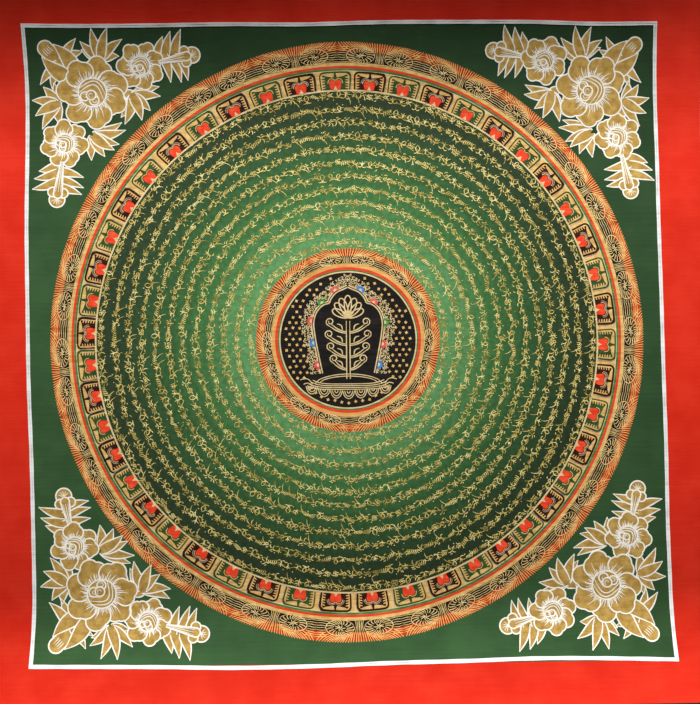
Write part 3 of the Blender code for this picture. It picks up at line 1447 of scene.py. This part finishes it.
def sprigs() -> list[Array]:
    """The eight small sprigs of the ornament rings, x along the row and y outwards.

    Returns:
        (strokes, 7, 2) for each.
    """
    stem = (leaf(0, -4, 7.6, 86, 0.1), leaf(0, -1.4, 3.8, 150), leaf(0, -1.4, 3.8, 32, -0.2))
    fan = (leaf(0, -2.4, 5.4, 90, 0.0), leaf(0, -2.4, 5.0, 52), leaf(0, -2.4, 5.0, 128, -0.2))
    palmette = (leaf(-0.6, -3.2, 6.8, 116, -0.3), leaf(0.6, -3.2, 6.8, 64, 0.3), leaf(0, 0.4, 4.0, 90, 0.0))
    bud = (leaf(0, -2.8, 6.6, 90, 0.32), leaf(0, -2.8, 6.6, 90, -0.32), leaf(0, -4.8, 2.4, 90, 0.0))
    curl = (tendril(-0.8, 0.4, 2.5, 0.0, 1.3), leaf(1.4, 0.2, 3.8, 42), leaf(1.2, -0.6, 3.8, -38))
    wave = (tendril(-1.8, 1.3, 2.0, 0.0, 1.2), tendril(1.8, -1.3, 2.0, 0.5, 1.2), leaf(-3.6, -2.2, 3.8, -14))
    spray = (leaf(-3.8, 2.8, 4.0, -24), leaf(0.2, 1.8, 4.0, 20), leaf(-1.0, 1.0, 4.6, -112))
    drawings = (
        (*stem, leaf(0.3, 1.0, 3.2, 142), leaf(0.3, 1.0, 3.2, 46, -0.2)),
        (*fan, leaf(-0.4, -2.6, 4.2, 168), leaf(0.4, -2.6, 4.2, 12, -0.2)),
        (*curl, leaf(-2.8, 3.0, 3.4, 24), leaf(-2.0, -2.6, 3.0, 200)),
        (*palmette, leaf(-1.2, -3.4, 3.4, 166), leaf(1.2, -3.4, 3.4, 14, -0.2)),
        tuple(leaf(-4.0 + 1.9 * k, -2.6 + 0.3 * k, 5.4 - 0.6 * k, 66, 0.15) for k in range(5)),
        (*wave, leaf(0.6, 3.0, 3.6, 8, -0.3), leaf(-0.8, -0.8, 2.4, 45)),
        (*bud, leaf(-0.2, -2.8, 4.0, 196), leaf(0.2, -2.8, 4.0, -16, -0.2)),
        (*spray, leaf(1.2, 0.8, 5.0, -70), leaf(-0.4, 4.0, 2.2, 20)),
    )
    return [np.stack(strokes) for strokes in drawings]


@dataclass(frozen=True)
class OrnamentRings:
    """Rows of small gold sprigs, curls and beads, one row to a ring, each on a waving stem."""

    inner: float = 102.5
    pitch: float = 14.15
    parts: tuple[str, ...] = ("inner",) * 6 + ("middle",) * 3 + ("outer",) * 3  # the piece of each ring
    step: float = 8.3
    line: float = 0.92
    stem: float = 0.18
    small: float = 0.86
    tall: float = 1.08
    tall_share: float = 0.4
    tail_share: float = 0.20
    dot_share: float = 0.45
    dot_radius: float = 0.65
    seed: int = 21

    def ring(self, film: PaintFilm, ring: int, random: np.random.Generator) -> None:
        """One ring: its waving stem and the sprigs on it, with long tendrils and dots between them.

        Args:
            film: what it is drawn in.
            ring: its number, from the inner one.
            random: draws the sprigs and how they lie.
        """
        radius = self.inner + self.pitch * ring
        count = int(round(TURN * radius / self.step))
        place = np.arange(count) + random.uniform(0.0, 1.0) + random.normal(0.0, 0.08, count)
        angle = place / count * TURN
        off = radius + random.normal(0.0, 0.7, count)
        around = all_round(4 * count)
        wave = 1.5 * np.sin(0.5 * count * around) + 0.5 * np.sin(7.0 * around + ring)
        film.strokes(on_ring(radius + wave, around)[None], self.stem, closed=True)
        kind = random.integers(0, 8, count)
        tall = random.random(count) < self.tall_share
        for number, drawing in enumerate(sprigs()):
            for scale, chosen in ((self.small, ~tall), (self.tall, tall)):
                own = (kind == number) & chosen
                if own.any():
                    lean = angle[own] + random.normal(0.0, 0.25, own.sum())
                    centres = on_ring(off[own], angle[own])
                    film.strokes(moved(drawing * scale, centres, lean), brush(7, self.line, 0.45, 0.3))
        tails = random.random(count) < self.tail_share
        slant = random.normal(6.5, 1.2, tails.sum()) / radius
        start = on_ring(np.full(tails.sum(), radius - 1.0), angle[tails] + 2.0 / radius)
        end = on_ring(radius - random.uniform(6.5, 10.0, tails.sum()), angle[tails] + slant)
        film.strokes(bowed(start, end, 0.10, 4), brush(4, self.line * 0.7, 0.9, 0.3))
        dots = random.random(count) < self.dot_share
        out = radius + random.choice([-4.0, 4.4], dots.sum()) + random.normal(0.0, 0.4, dots.sum())
        middle = on_ring(out, angle[dots] + 0.45 * self.step / radius)
        film.spots(middle[:, None] + polar((0.0, 0.0), np.full(6, self.dot_radius), all_round(6)))

    def build(self) -> Pieces:
        """Draw every ring.

        Returns:
            The pieces, three rings or more to a piece.
        """
        random = np.random.default_rng(self.seed)
        films = {part: PaintFilm(f"ornament_rings_{part}", MARK_GOLD, Coat.LINE) for part in self.parts}
        for number, part in enumerate(self.parts):
            self.ring(films[part], number, random)
        return [film.lay() for film in films.values()]


# ---- the medallion


@dataclass(frozen=True)
class Medallion:
    """The black disc's drawing: stars, and a niche in scrollwork on a lotus base, with a flowering stem.

    All of it is drawn in millimetres from the medallion's centre. The niche is given by its right half.
    """

    star_pitch: float = 7.2
    star_radius: float = 1.95
    line: float = 1.25
    scroll_pitch: float = 2.75
    niche: tuple[Spot, ...] = table(
        Spot, (27.1, -34.8), (31.4, -14.0), (34.9, 5.7), (35.9, 19.0), (31.8, 31.0), (24.4, 37.4),
        (19.6, 38.8), (17.9, 42.6), (11.2, 50.2), (4.6, 53.2), (0.0, 55.4)
    )

    def put(self, shapes: Array) -> Array:
        """Move drawings from the medallion's own centre to the cloth."""
        return shapes + np.array(MANDALA_CENTRE)

    def niche_half(self, outward: float) -> Array:
        """The right half of the niche's line, or a line parallel to it.

        Args:
            outward: distance outside the niche's line.

        Returns:
            (60, 2) points from the base to the top.
        """
        rows = np.array(self.niche)
        run = np.concatenate(([0.0], np.cumsum(np.linalg.norm(np.diff(rows, axis=0), axis=1))))
        at = np.linspace(0.0, run[-1], 60)
        path = np.stack([smooth_through(run, rows[:, axis], at) for axis in (0, 1)], axis=-1)
        return np.maximum(path - square_to(path[None])[0] * outward, (0.0, -1e3))

    def stars(self) -> Array:
        """Outlines of the stars: an offset grid, kept clear of the rim, the niche and the base.

        Returns:
            (stars, 8, 2) points.
        """
        across = np.arange(-12, 13)
        col, row = np.meshgrid(across, across, indexing="ij")
        x, y = (col + 0.5 * (row % 2)) * self.star_pitch, row * self.star_pitch * 0.80 + 1.0
        shake = np.random.default_rng(5).normal(0.0, 0.35, (2, *x.shape))
        x, y = x + shake[0], y + shake[1]
        edge = self.niche_half(13.0)
        order = np.argsort(edge[:, 1])
        clear = np.interp(y, edge[order, 1], edge[order, 0], left=42.0, right=0.0)
        clear = np.where(y < -42.0, 51.0, clear)
        inside_band = (np.abs(x) < clear) & (y > 0.0075 * x**2 - 68.0)
        keep = (np.hypot(x, y) < 68.2) & ~inside_band
        below = np.radians(180.0 + np.arange(-6, 7) * 6.4)
        low = polar((0.0, 0.0), 65.6 + 0.7 * np.cos(np.arange(13) * 2.0), below)
        points = np.concatenate((joined(x[keep], y[keep]), low))
        turn = np.random.default_rng(6).uniform(0.0, TURN, len(points))[:, None] + all_round(8)
        reach = np.where(np.arange(8) % 2, 0.6, 1.0) * self.star_radius
        return points[:, None] + polar((0.0, 0.0), reach, turn)

    def scrollwork(self) -> Array:
        """Small loose curls that fill the band outside the niche, and rise to a point over its top.

        Formula: an even grid, shaken a little, of which only what lies just outside the niche's line stays.

        Returns:
            (curls, 7, 2) strokes.
        """
        random = np.random.default_rng(8)
        columns, rows = np.arange(0.9, 52.0, self.scroll_pitch), np.arange(-34.0, 72.0, self.scroll_pitch)
        x, y = (grid.ravel() for grid in np.meshgrid(columns, rows))
        x, y = x + random.normal(0.0, 0.35, x.shape), y + random.normal(0.0, 0.45, x.shape)
        line = self.niche_half(0.0)
        gap = np.hypot(x[:, None] - line[:, 0], y[:, None] - line[:, 1]).min(axis=1)
        inside = x < np.interp(y, line[:, 1], line[:, 0], right=-1.0)
        own = ~inside & (gap > 2.6) & (gap < 12.2 + 2.6 * np.exp(-((x / 5.0) ** 2)))
        turn = random.choice([-0.8, 0.8], own.sum())
        curls = zip(x[own], y[own], random.uniform(1.2, 1.9, own.sum()), random.random(own.sum()), turn)
        return np.stack([spiral((u, v), size, 0.5, start, turns, 7) for u, v, size, start, turns in curls])

    def flower_stem(self) -> tuple[Array, Array]:
        """The flowering stem in the niche: paired curling branches under an open lotus.

        Returns:
            Strokes of 12 points, and closed petals of 16 points.
        """
        t = shares(12)
        strokes = [joined(np.full(12, 1.5), -41.0 + 52.0 * t)]
        for foot, reach in ((-33.0, 17.0), (-22.0, 19.5), (-11.0, 21.0), (0.0, 20.0)):
            for inset in (0.0, 2.2):
                branch = (1.6 + (reach - 5.0 - inset) * t, foot + inset * 0.6 + 7.0 * t**1.8)
                strokes.append(np.stack(branch, axis=-1))
            strokes.append(spiral((reach - 4.6, foot + 10.4), 3.9, 1.2, 0.45, -1.3, 12))
            strokes.append(bowed((5.0, foot + 3.0), (9.5, foot + 8.4), 0.25, 12)[0])
        angle = np.radians([-62.0, -40.0, -20.0, 0.0, 20.0, 40.0, 62.0])[:, None]
        turn = all_round(16)
        along = (0.5 - 0.5 * np.cos(turn)) * np.array([15.0, 17.0, 18.5, 20.0, 18.5, 17.0, 15.0])[:, None]
        side = np.sin(turn) * 3.0 * (1.0 - 0.25 * np.cos(turn))
        x = along * np.sin(angle) + side * np.cos(angle)
        petals = joined(x, 14.0 + along * np.cos(angle) - side * np.sin(angle))
        foot, grow = np.array((0.0, 41.0)), np.array((1.22, 1.17))
        return (both(np.stack(strokes)) + foot) * grow - foot, (petals + foot) * grow - foot

    def base_lines(self) -> tuple[Array, Array]:
        """The base: level lines with lifted ends, a low mound, and a row of hanging petals.

        Returns:
            Strokes of 16 points, and petal arches of 12 points.
        """
        t = np.linspace(-1.0, 1.0, 16)
        level = np.arange(4)[:, None]
        lines = joined((37.5 + 2.0 * level) * t, -46.2 - 1.9 * level + 4.2 * np.abs(t) ** 5)
        rises = ((35.5, 10.0, -45.8), (31.0, 7.2, -45.2))
        mound = np.stack([joined(r * t, f + h * (1.0 - t * t) ** 0.6) for r, h, f in rises])
        s = np.linspace(-1.0, 1.0, 12)
        arches = []
        for place in np.linspace(-38.4, 38.4, 7):
            drop = 53.4 - 0.0036 * place**2
            for half, depth in ((6.2, 8.2), (4.3, 5.8), (1.7, 2.6)):
                arches.append(joined(place + half * s, -drop - depth * (1.0 - s * s) ** 0.6))
        k = np.arange(3.0)
        start, end = joined(np.full(3, 38.0), -46.0 - 2.6 * k), joined(50.5 - 3.4 * k, -41.5 - 4.6 * k)
        flares = bowed(start, end, 0.25, 12)
        return np.concatenate((lines, mound)), np.concatenate((np.stack(arches), both(flares)))

    def half_flowers(self) -> tuple[list[tuple[Gouache, Array]], Array]:
        """Half flowers along the niche, each at one of its points, to the right (1) or the left (-1).

        Returns:
            The outlines of each colour, and the outlines of their gold hearts.
        """
        line = self.niche_half(2.4)
        picks = (
            (PETAL_RED, ((52, -1), (41, 1), (30, -1), (17, 1), (5, -1))),
            (PETAL_BLUE, ((52, 1), (18, -1), (5, 1))),
            (PETAL_GREEN, ((41, -1), (29, 1))),
        )
        turn = np.linspace(-1.75, 1.75, 15)
        radius = 4.9 * (0.84 + 0.16 * np.abs(np.sin(turn * 3.0 + np.pi / 2.0)))
        found, hearts = [], []
        for finish, places in picks:
            shapes = []
            for number, side in places:
                along = line[number + 1] - line[number - 1]
                outward = turn + np.arctan2(along[1], -along[0])
                shapes.append((line[number] + polar((0.0, 0.0), radius, outward)) * (side, 1.0))
                hearts.append((line[number] + polar((0.0, 0.0), np.full(15, 1.9), outward)) * (side, 1.0))
            found.append((finish, np.stack(shapes)))
        return found, np.stack(hearts)

    def build(self) -> Pieces:
        """Stars, niche, scrollwork, half flowers, base and flowering stem.

        Returns:
            The pieces.
        """
        stars = PaintFilm("medallion_stars", CELL_GOLD, Coat.LINE)
        stars.spots(self.put(self.stars()))
        lines = PaintFilm("medallion_lines", PALE_GOLD, Coat.LINE)
        for outward in (0.0, 2.2):
            lines.strokes(self.put(both(self.niche_half(outward)[None])), self.line / 2.0)
        strokes, petals = self.flower_stem()
        lines.strokes(self.put(strokes), brush(12, self.line, 0.8, 0.6))
        lines.strokes(self.put(petals), self.line / 2.0, closed=True)
        for drawing in self.base_lines():
            lines.strokes(self.put(drawing), self.line * 0.36)
        scroll = PaintFilm("medallion_scrollwork", PALE_GOLD, Coat.LINE)
        scroll.strokes(self.put(both(self.scrollwork())), brush(7, 0.85, 0.7, 0.5))
        found, hearts = self.half_flowers()
        flowers = []
        for finish, outlines in found:
            film = PaintFilm(f"medallion_{finish.name.split('_gouache')[0]}", finish, Coat.LINE)
            film.spots(self.put(outlines), lift=0.03)
            flowers.append(film)
        lines.spots(self.put(hearts), lift=0.05)
        return [film.lay() for film in (stars, lines, scroll, *flowers)]


# ---- the corner sprays


class SprayRow(NamedTuple):
    """Where one corner's flowers and buds lie on the cloth, in millimetres."""

    corner: Corner
    flower: Pair
    side_flower: Pair
    down_flower: Pair
    corner_bud: Pair
    side_bud: Pair
    down_bud: Pair


SPRAYS = table(
    SprayRow,
    (Corner.HEAD_LEFT, (-263, 259), (-212, 286), (-293, 206), (-310, 304), (-158, 297), (-301, 147)),
    (Corner.HEAD_RIGHT, (262, 260), (212, 291), (291, 211), (308, 307), (158, 301), (304, 153)),
    (Corner.FOOT_LEFT, (-255, -263), (-207, -292), (-283, -214), (-300, -314), (-152, -305), (-294, -162)),
    (Corner.FOOT_RIGHT, (270, -262), (213, -288), (294, -211), (315, -312), (165, -302), (305, -162)),
)


class LeafFan(NamedTuple):
    """Leaves that spring from one base. Points are from the big flower's centre, outwards on both axes."""

    base: Pair
    tips: tuple[Pair, ...]
    width: float


FLOWER_FANS = table(
    LeafFan,
    ((30, 33), ((8, 42), (15, 55)), 9.7),
    ((34, 30), ((42, 4), (54, 8)), 9.7),
    ((-10, 35), ((10, 44), (11, 52), (-29, 37), (-33, 54), (-1, 65), (-18, 66)), 10.2),
    ((37, -12), ((40, 10), (51, 6), (34, -33), (63, -8), (53, -38), (60, -24)), 10.7),
    ((-42, -4), ((-31, 3), (-70, 6), (-29, -26), (-71, -4), (-33, -33), (-60, -19), (-51, -29)), 10.7),
    ((0, -45), ((-30, -31), (-34, -39), (2, -71), (-27, -54), (-12, -67), (-22, -60)), 10.7),
)


class BudLeaf(NamedTuple):
    """One leaf of an end bud of the arm along u, from its round tip: u outwards and v up the cloth."""

    base: Pair
    tip: Pair


BUD_LEAVES = table(
    BudLeaf, ((36, -1), (30, 19)), ((28, -1), (22, 24)), ((19, 0), (11, 26)), ((30, 0), (23, -28)),
    ((21, 0), (12, -28)), ((13, 0), (5, -26))
)


@dataclass
class CornerSpray:
    """One corner's spray of gold flowers, leaves and buds with white outlines.

    Each shape is painted a hair above the one before it, so that it covers what lies under it.
    """

    row: SprayRow
    gold: PaintFilm
    white: PaintFilm
    flower_radius: float = 37.0
    small_flower_radius: float = 24.5
    petals: int = 7
    outline: float = 1.45
    fine: float = 0.75
    level: float = 0.0
    step: float = 0.009
    over: float = 0.005  # a white line lies this much above its own gold

    def raise_level(self) -> float:
        """Go one step up, and return the new level."""
        self.level += self.step
        return self.level

    def local(self, points: Any) -> Array:
        """Points given outwards from the big flower's centre, moved to the cloth."""
        return np.array(self.row.flower, float) + np.asarray(points, float) * self.row.corner.value

    def petal(self, centre: Pair, radius: float, out: float, random: np.random.Generator) -> None:
        """One petal, with three fine veins.

        Formula: a petal is round about its own middle, with three or four round lobes in its edge.

        Args:
            centre: the flower's middle on the cloth.
            radius: length of the petal.
            out: its direction.
            random: draws its unevenness.
        """
        lift = self.raise_level()
        around = all_round(42)
        size = radius * random.uniform(0.36, 0.42)
        middle = polar(centre, np.array(radius * random.uniform(0.98, 1.03) - size), np.array(out))
        lobes = np.abs(np.cos(random.choice([1.5, 2.0]) * around + random.normal(0.0, 0.3))) ** 0.7
        self.patch(middle, polar(tuple(middle), size * (0.84 + 0.20 * lobes), around + out), lift)
        veins = out + TURN / self.petals * np.array([-0.30, 0.02, 0.33])
        start = polar(centre, np.full(3, radius * 0.36), veins)
        end = polar(centre, radius * random.uniform(0.52, 0.78, 3), veins + 0.05)
        self.white.strokes(bowed(start, end, 0.08, 7), brush(7, self.fine, 0.9, 0.2), lift=lift + self.over)

    def flower(self, centre: Pair, radius: float, turn: float, seed: int) -> None:
        """A flower with a whorled heart in a fringe of fine rays. Its petals overlap one after another.

        Args:
            centre: its middle on the cloth.
            radius: length of a petal.
            turn: how far the first petal is turned.
            seed: start of the random unevenness.
        """
        random = np.random.default_rng(seed)
        for number in range(self.petals):
            out = turn + TURN / self.petals * (number + random.normal(0.0, 0.07))
            self.petal(centre, radius, out, random)
        heart, rays = radius * 0.40, 9 * self.petals
        rise = self.raise_level()
        place = turn + (np.arange(rays) + random.normal(0.0, 0.18, rays)) / rays * TURN
        far = polar(centre, heart * (1.18 + 0.40 * random.random(rays)), place + 0.04)
        near = polar(centre, np.full(rays, heart * 0.98), place)
        self.white.strokes(bowed(near, far, 0.04, 4), brush(4, self.fine, 1.0, 0.3), lift=rise)
        self.whorl(np.array(centre, float), heart, turn)

    def whorl(self, centre: Array, radius: float, turn: float) -> None:
        """The heart, like a rosebud: a ring, crescents at one side, and three small rounds at the other.

        Args:
            centre: its middle.
            radius: radius of the ring.
            turn: how far it is turned.
        """
        self.disc(centre, radius, self.raise_level())
        half_turns = np.array((0.24, 0.30, 0.36)) * TURN
        reach = np.full(3, radius * 0.95)
        ends = [polar(tuple(centre), reach, turn + side * half_turns) for side in (-1.0, 1.0)]
        crescents = bowed(*ends, np.array((0.40, 0.47, 0.52)), 12)
        self.white.strokes(crescents, brush(12, self.outline * 0.8, 0.4, 0.4), lift=self.raise_level())
        for place, off, size in ((0.42, 0.56, 0.33), (0.63, 0.60, 0.31), (0.53, 0.20, 0.33)):
            middle = centre + polar((0.0, 0.0), np.array(radius * off), np.array(turn + place * TURN))
            self.disc(middle, radius * size, self.raise_level())
            curl = spiral(tuple(middle), radius * size * 0.62, radius * size * 0.2, place * 3.0, 0.7, 9)
            self.white.strokes(curl, brush(9, self.fine, 0.8, 0.5), lift=self.raise_level())

    def patch(self, middle: Array, outline: Array, lift: float) -> None:
        """A closed gold shape with a white outline.

        Args:
            middle: a point from which its whole outline is in sight.
            outline: (n, 2) points round it.
            lift: its level.
        """
        inner = middle + (outline - middle) * 0.004
        rings = max(2, int(np.linalg.norm(outline - middle, axis=-1).max() / 2.8))
        self.gold.strips(inner[None], outline[None], rings, closed=True, lift=lift)
        self.white.strokes(outline, self.outline / 2.0, closed=True, lift=lift + self.over)

    def disc(self, centre: Array, radius: float, lift: float) -> None:
        """A round gold spot with a white outline."""
        self.patch(centre, polar(tuple(centre), np.full(24, radius), all_round(24)), lift)

    def tube(self, start: Array, end: Array, first: float, last: float, lines: int) -> None:
        """A straight gold strip with white edges and fine white lines along it.

        Args:
            start: one end.
            end: the other end.
            first: half its width at the start.
            last: half its width at the end.
            lines: how many fine lines.
        """
        path = bowed(start, end, 0.0, 12)
        half = square_to(path) * np.linspace(first, last, 12)[None, :, None]
        lift = self.raise_level()
        self.gold.strips(path + half, path - half, across=4, lift=lift)
        edges = np.array((-1.0, 1.0))[:, None, None]
        self.white.strokes(path + half * edges, self.outline / 2.0, lift=lift + self.over)
        if lines:
            fan = np.linspace(-0.6, 0.6, lines)[:, None, None]
            self.white.strokes(path + half * fan, brush(12, self.fine, 0.9, 0.6), lift=lift + self.over)

    def leaves(self, base: Array, tips: Array, width: float, bow: float, blunt: float) -> None:
        """Pointed leaves with white outlines, each over the one before it.

        Formula: the half width grows as a power of the way along the leaf, and shrinks nearly evenly to a
        long point. A blunt leaf starts later on that curve.

        Args:
            base: (k, 2) or (2,) where they spring.
            tips: (k, 2) points.
            width: full width, mm.
            bow: how far a leaf bends sideways, as a share of its length.
            blunt: how broad the base is, from 0 to 0.5.
        """
        tips = np.atleast_2d(tips)
        count = 11
        spine = bowed(np.broadcast_to(base, tips.shape), tips, bow, count)
        share = blunt + (1.0 - blunt) * shares(count)
        half = 1.5 * width * share**0.6 * (1.0 - share) ** 1.1
        side = square_to(spine) * half[None, :, None]
        lift = self.level + self.step * np.arange(1, len(tips) + 1)
        self.level = float(lift[-1])
        self.gold.strips(spine + side, spine - side, across=4, lift=lift)
        edge = brush(count, self.outline, 0.7, 0.5)
        for sign in (-1.0, 1.0):
            self.white.strokes(spine + sign * side, edge, lift=lift + self.over)

    def corner_bud(self) -> None:
        """The bud at the corner: a round-ended body between two broad leaves."""
        tip = np.array(self.row.corner_bud, float)
        outward = np.array(self.row.corner.value) / np.sqrt(2.0)
        side = np.array((-outward[1], outward[0]))
        self.disc(tip, 7.8, self.raise_level())
        self.tube(tip - outward * 32.0, tip - outward * 1.0, 7.8, 7.8, 0)
        for sign in (-1.0, 1.0):
            base, end = tip - outward * 40.0 + side * sign * 4.0, tip - outward * 3.0 + side * sign * 9.0
            self.leaves(base, end, 16.0, 0.07 * sign, 0.1)
        veins = np.array([tip - outward * 7.0 + side * s for s in (-3.6, -1.2, 1.2, 3.6)])
        lines = bowed(veins, veins + outward * 8.0, 0.05, 5)
        self.white.strokes(lines, brush(5, self.fine, 0.8, 0.2), lift=self.raise_level())

    def end_bud(self, flower: Pair, bud: Pair, swapped: bool) -> None:
        """A long-throated bud with three pointed leaves on each side.

        Args:
            flower: centre of the small flower it grows from.
            bud: centre of its round tip.
            swapped: True for the spray's other arm, whose leaves are the same with the axes exchanged.
        """
        self.level = 0.0
        start, end = np.array(flower, float), np.array(bud, float)
        along = (end - start) / np.linalg.norm(end - start)
        side = np.array((-along[1], along[0]))
        for row in BUD_LEAVES:
            points = np.array(row, float)
            placed = end + (points[:, ::-1] if swapped else points) * self.row.corner.value
            self.leaves(placed[0], placed[1], 9.5, 0.04, 0.22)
        self.disc(end, 8.2, self.raise_level())
        for offset in (-5.6, 5.6):
            self.disc(end - along * 7.4 + side * offset, 5.0, self.raise_level())
        self.disc(end - along * 6.0, 4.6, self.raise_level())
        self.tube(start + along * 19.0, end - along * 8.0, 1.2, 4.4, 3)
        rays = np.linspace(-1.0, 1.0, 5)[:, None]
        base = np.tile(end - along * 1.0, (5, 1))
        tip = base + along * 6.4 * np.cos(rays) + side * 6.4 * np.sin(rays)
        self.white.strokes(bowed(base, tip, 0.0, 4), brush(4, self.fine, 0.7, 0.3), lift=self.raise_level())

    def draw(self, seed: int) -> None:
        """Draw the whole spray, from what lies lowest to what lies on top.

        Args:
            seed: start of its random unevenness.
        """
        self.end_bud(self.row.side_flower, self.row.side_bud, False)
        self.end_bud(self.row.down_flower, self.row.down_bud, True)
        self.level = 0.0
        self.corner_bud()
        for number, fan in enumerate(FLOWER_FANS):
            self.level = 0.0
            self.leaves(self.local(fan.base), self.local(fan.tips), fan.width, 0.05 * (-1) ** number, 0.13)
        for number, centre in enumerate((self.row.side_flower, self.row.down_flower)):
            self.level = 6 * self.step
            self.flower(centre, self.small_flower_radius, 0.3 + 0.6 * number, seed + number)
        self.level = 13 * self.step
        self.flower(self.row.flower, self.flower_radius, 0.1 * seed, seed + 2)


def build_sprays() -> Pieces:
    """All four corner sprays, as one piece of gold and one of white.

    Returns:
        The pieces.
    """
    gold = PaintFilm("corner_spray_gold", SPRAY_GOLD, Coat.BAND)
    white = PaintFilm("corner_spray_white", CHALK_WHITE, Coat.BAND)
    for number, row in enumerate(SPRAYS):
        CornerSpray(row, gold, white).draw(10 * number + 3)
    return [gold.lay(), white.lay()]


# ---- studio


@dataclass(frozen=True)
class Studio:
    """A pale floor, a camera above the canvas, and a soft light like a low window at the head.

    Lengths are in metres, and the camera's tilts and roll in degrees.
    """

    distance: float = 0.9
    target: Pair = (0.0041, -0.0161)
    tilt_x: float = 1.7322
    tilt_y: float = 1.2868
    roll: float = 0.5773
    focal_px: float = 857.0
    frame_width_px: float = 700.0
    sensor: float = 36.0
    window: tuple[float, float, float] = (0.22, 2.6, 0.712)
    window_aim: tuple[float, float, float] = (0.0, -0.10, 0.0)
    window_size: Pair = (1.5, 0.45)
    window_watts: float = 284.0
    sky: str = "F4F5F7"
    sky_strength: float = 0.04
    floor_side: float = 8.0
    floor_level: float = -0.0002

    def stand(self, name: str, data: Any) -> bpy.types.Object:
        """Put a camera, a lamp or a mesh in the scene.

        Args:
            name: what it is called.
            data: the camera, lamp or mesh.

        Returns:
            The new object.
        """
        thing = bpy.data.objects.new(name, data)
        bpy.context.scene.collection.objects.link(thing)
        return thing

    def camera(self) -> None:
        """A camera that looks nearly straight down."""
        tilt_x, tilt_y, roll = np.radians((self.tilt_x, self.tilt_y, self.roll))
        forward = Vector((np.sin(tilt_y), np.sin(tilt_x), -1.0)).normalized()
        up = Vector((np.sin(roll), np.cos(roll), 0.0))
        up = (up - forward * up.dot(forward)).normalized()
        right = forward.cross(up)
        data = bpy.data.cameras.new("camera")
        data.sensor_width = self.sensor
        data.sensor_fit = "HORIZONTAL"
        data.lens = self.focal_px * self.sensor / self.frame_width_px
        data.clip_start = 0.01
        turned = Matrix((right, up, -forward)).transposed().to_4x4()
        turned.translation = Vector((*self.target, 0.0)) - forward * self.distance
        camera = self.stand("camera", data)
        camera.matrix_world = turned
        bpy.context.scene.camera = camera

    def light(self) -> None:
        """The window's light, and a faint even one from all round."""
        data = bpy.data.lights.new("window_light", "AREA")
        data.shape = "RECTANGLE"
        data.size, data.size_y = self.window_size
        data.energy = self.window_watts
        lamp = self.stand("window_light", data)
        lamp.location = self.window
        aim = Vector(self.window_aim) - Vector(self.window)
        lamp.rotation_euler = aim.to_track_quat("-Z", "Y").to_euler()
        world = bpy.data.worlds.new("studio")
        world.use_nodes = True
        background = world.node_tree.nodes["Background"]
        background.inputs["Color"].default_value = linear(self.sky)
        background.inputs["Strength"].default_value = self.sky_strength
        bpy.context.scene.world = world
        bpy.context.scene.view_settings.view_transform = "Standard"

    def floor(self) -> bpy.types.Object:
        """A pale paper floor just under the canvas.

        Returns:
            The floor.
        """
        paper = bpy.data.materials.new("pale_studio_paper")
        paper.use_nodes = True
        tree = paper.node_tree
        place = add_node(tree, "ShaderNodeTexCoord", {}).outputs["Object"]
        grain = add_node(tree, "ShaderNodeTexNoise", {}, Vector=place, Scale=60.0).outputs["Fac"]
        shader = tree.nodes["Principled BSDF"]
        tones = add_node(tree, "ShaderNodeValToRGB", {}, ((0.3, "CFCDC8"), (0.7, "D9D7D3")), Fac=grain)
        tree.links.new(tones.outputs["Color"], shader.inputs["Base Color"])
        shader.inputs["Roughness"].default_value = 0.9
        mesh = bpy.data.meshes.new("studio_floor")
        corners = [(-0.5, -0.5), (0.5, -0.5), (0.5, 0.5), (-0.5, 0.5)]
        points = [(x * self.floor_side, y * self.floor_side, self.floor_level) for x, y in corners]
        mesh.from_pydata(points, [], [(0, 1, 2, 3)])
        mesh.materials.append(paper)
        floor = self.stand("studio_floor", mesh)
        return floor


def main() -> None:
    """Build the canvas and its painting in the order in which a painter lays them, and report each piece."""
    logging.basicConfig(level=logging.INFO, format="%(message)s")
    studio = Studio()
    studio.camera()
    studio.light()
    floor = studio.floor()
    cloth = CanvasCloth().build()
    painted = [
        *Border().build(),
        *GradedField().build(),
        *OUTER_FLAMES.build(),
        *INNER_FLAMES.build(),
        *RingLines().build(),
        *PetalRing().build(),
        *OrnamentRings().build(),
        *Medallion().build(),
        *build_sprays(),
    ]
    LOG.info("%d pieces", len(painted) + 1)


if __name__ == "__main__":
    main()
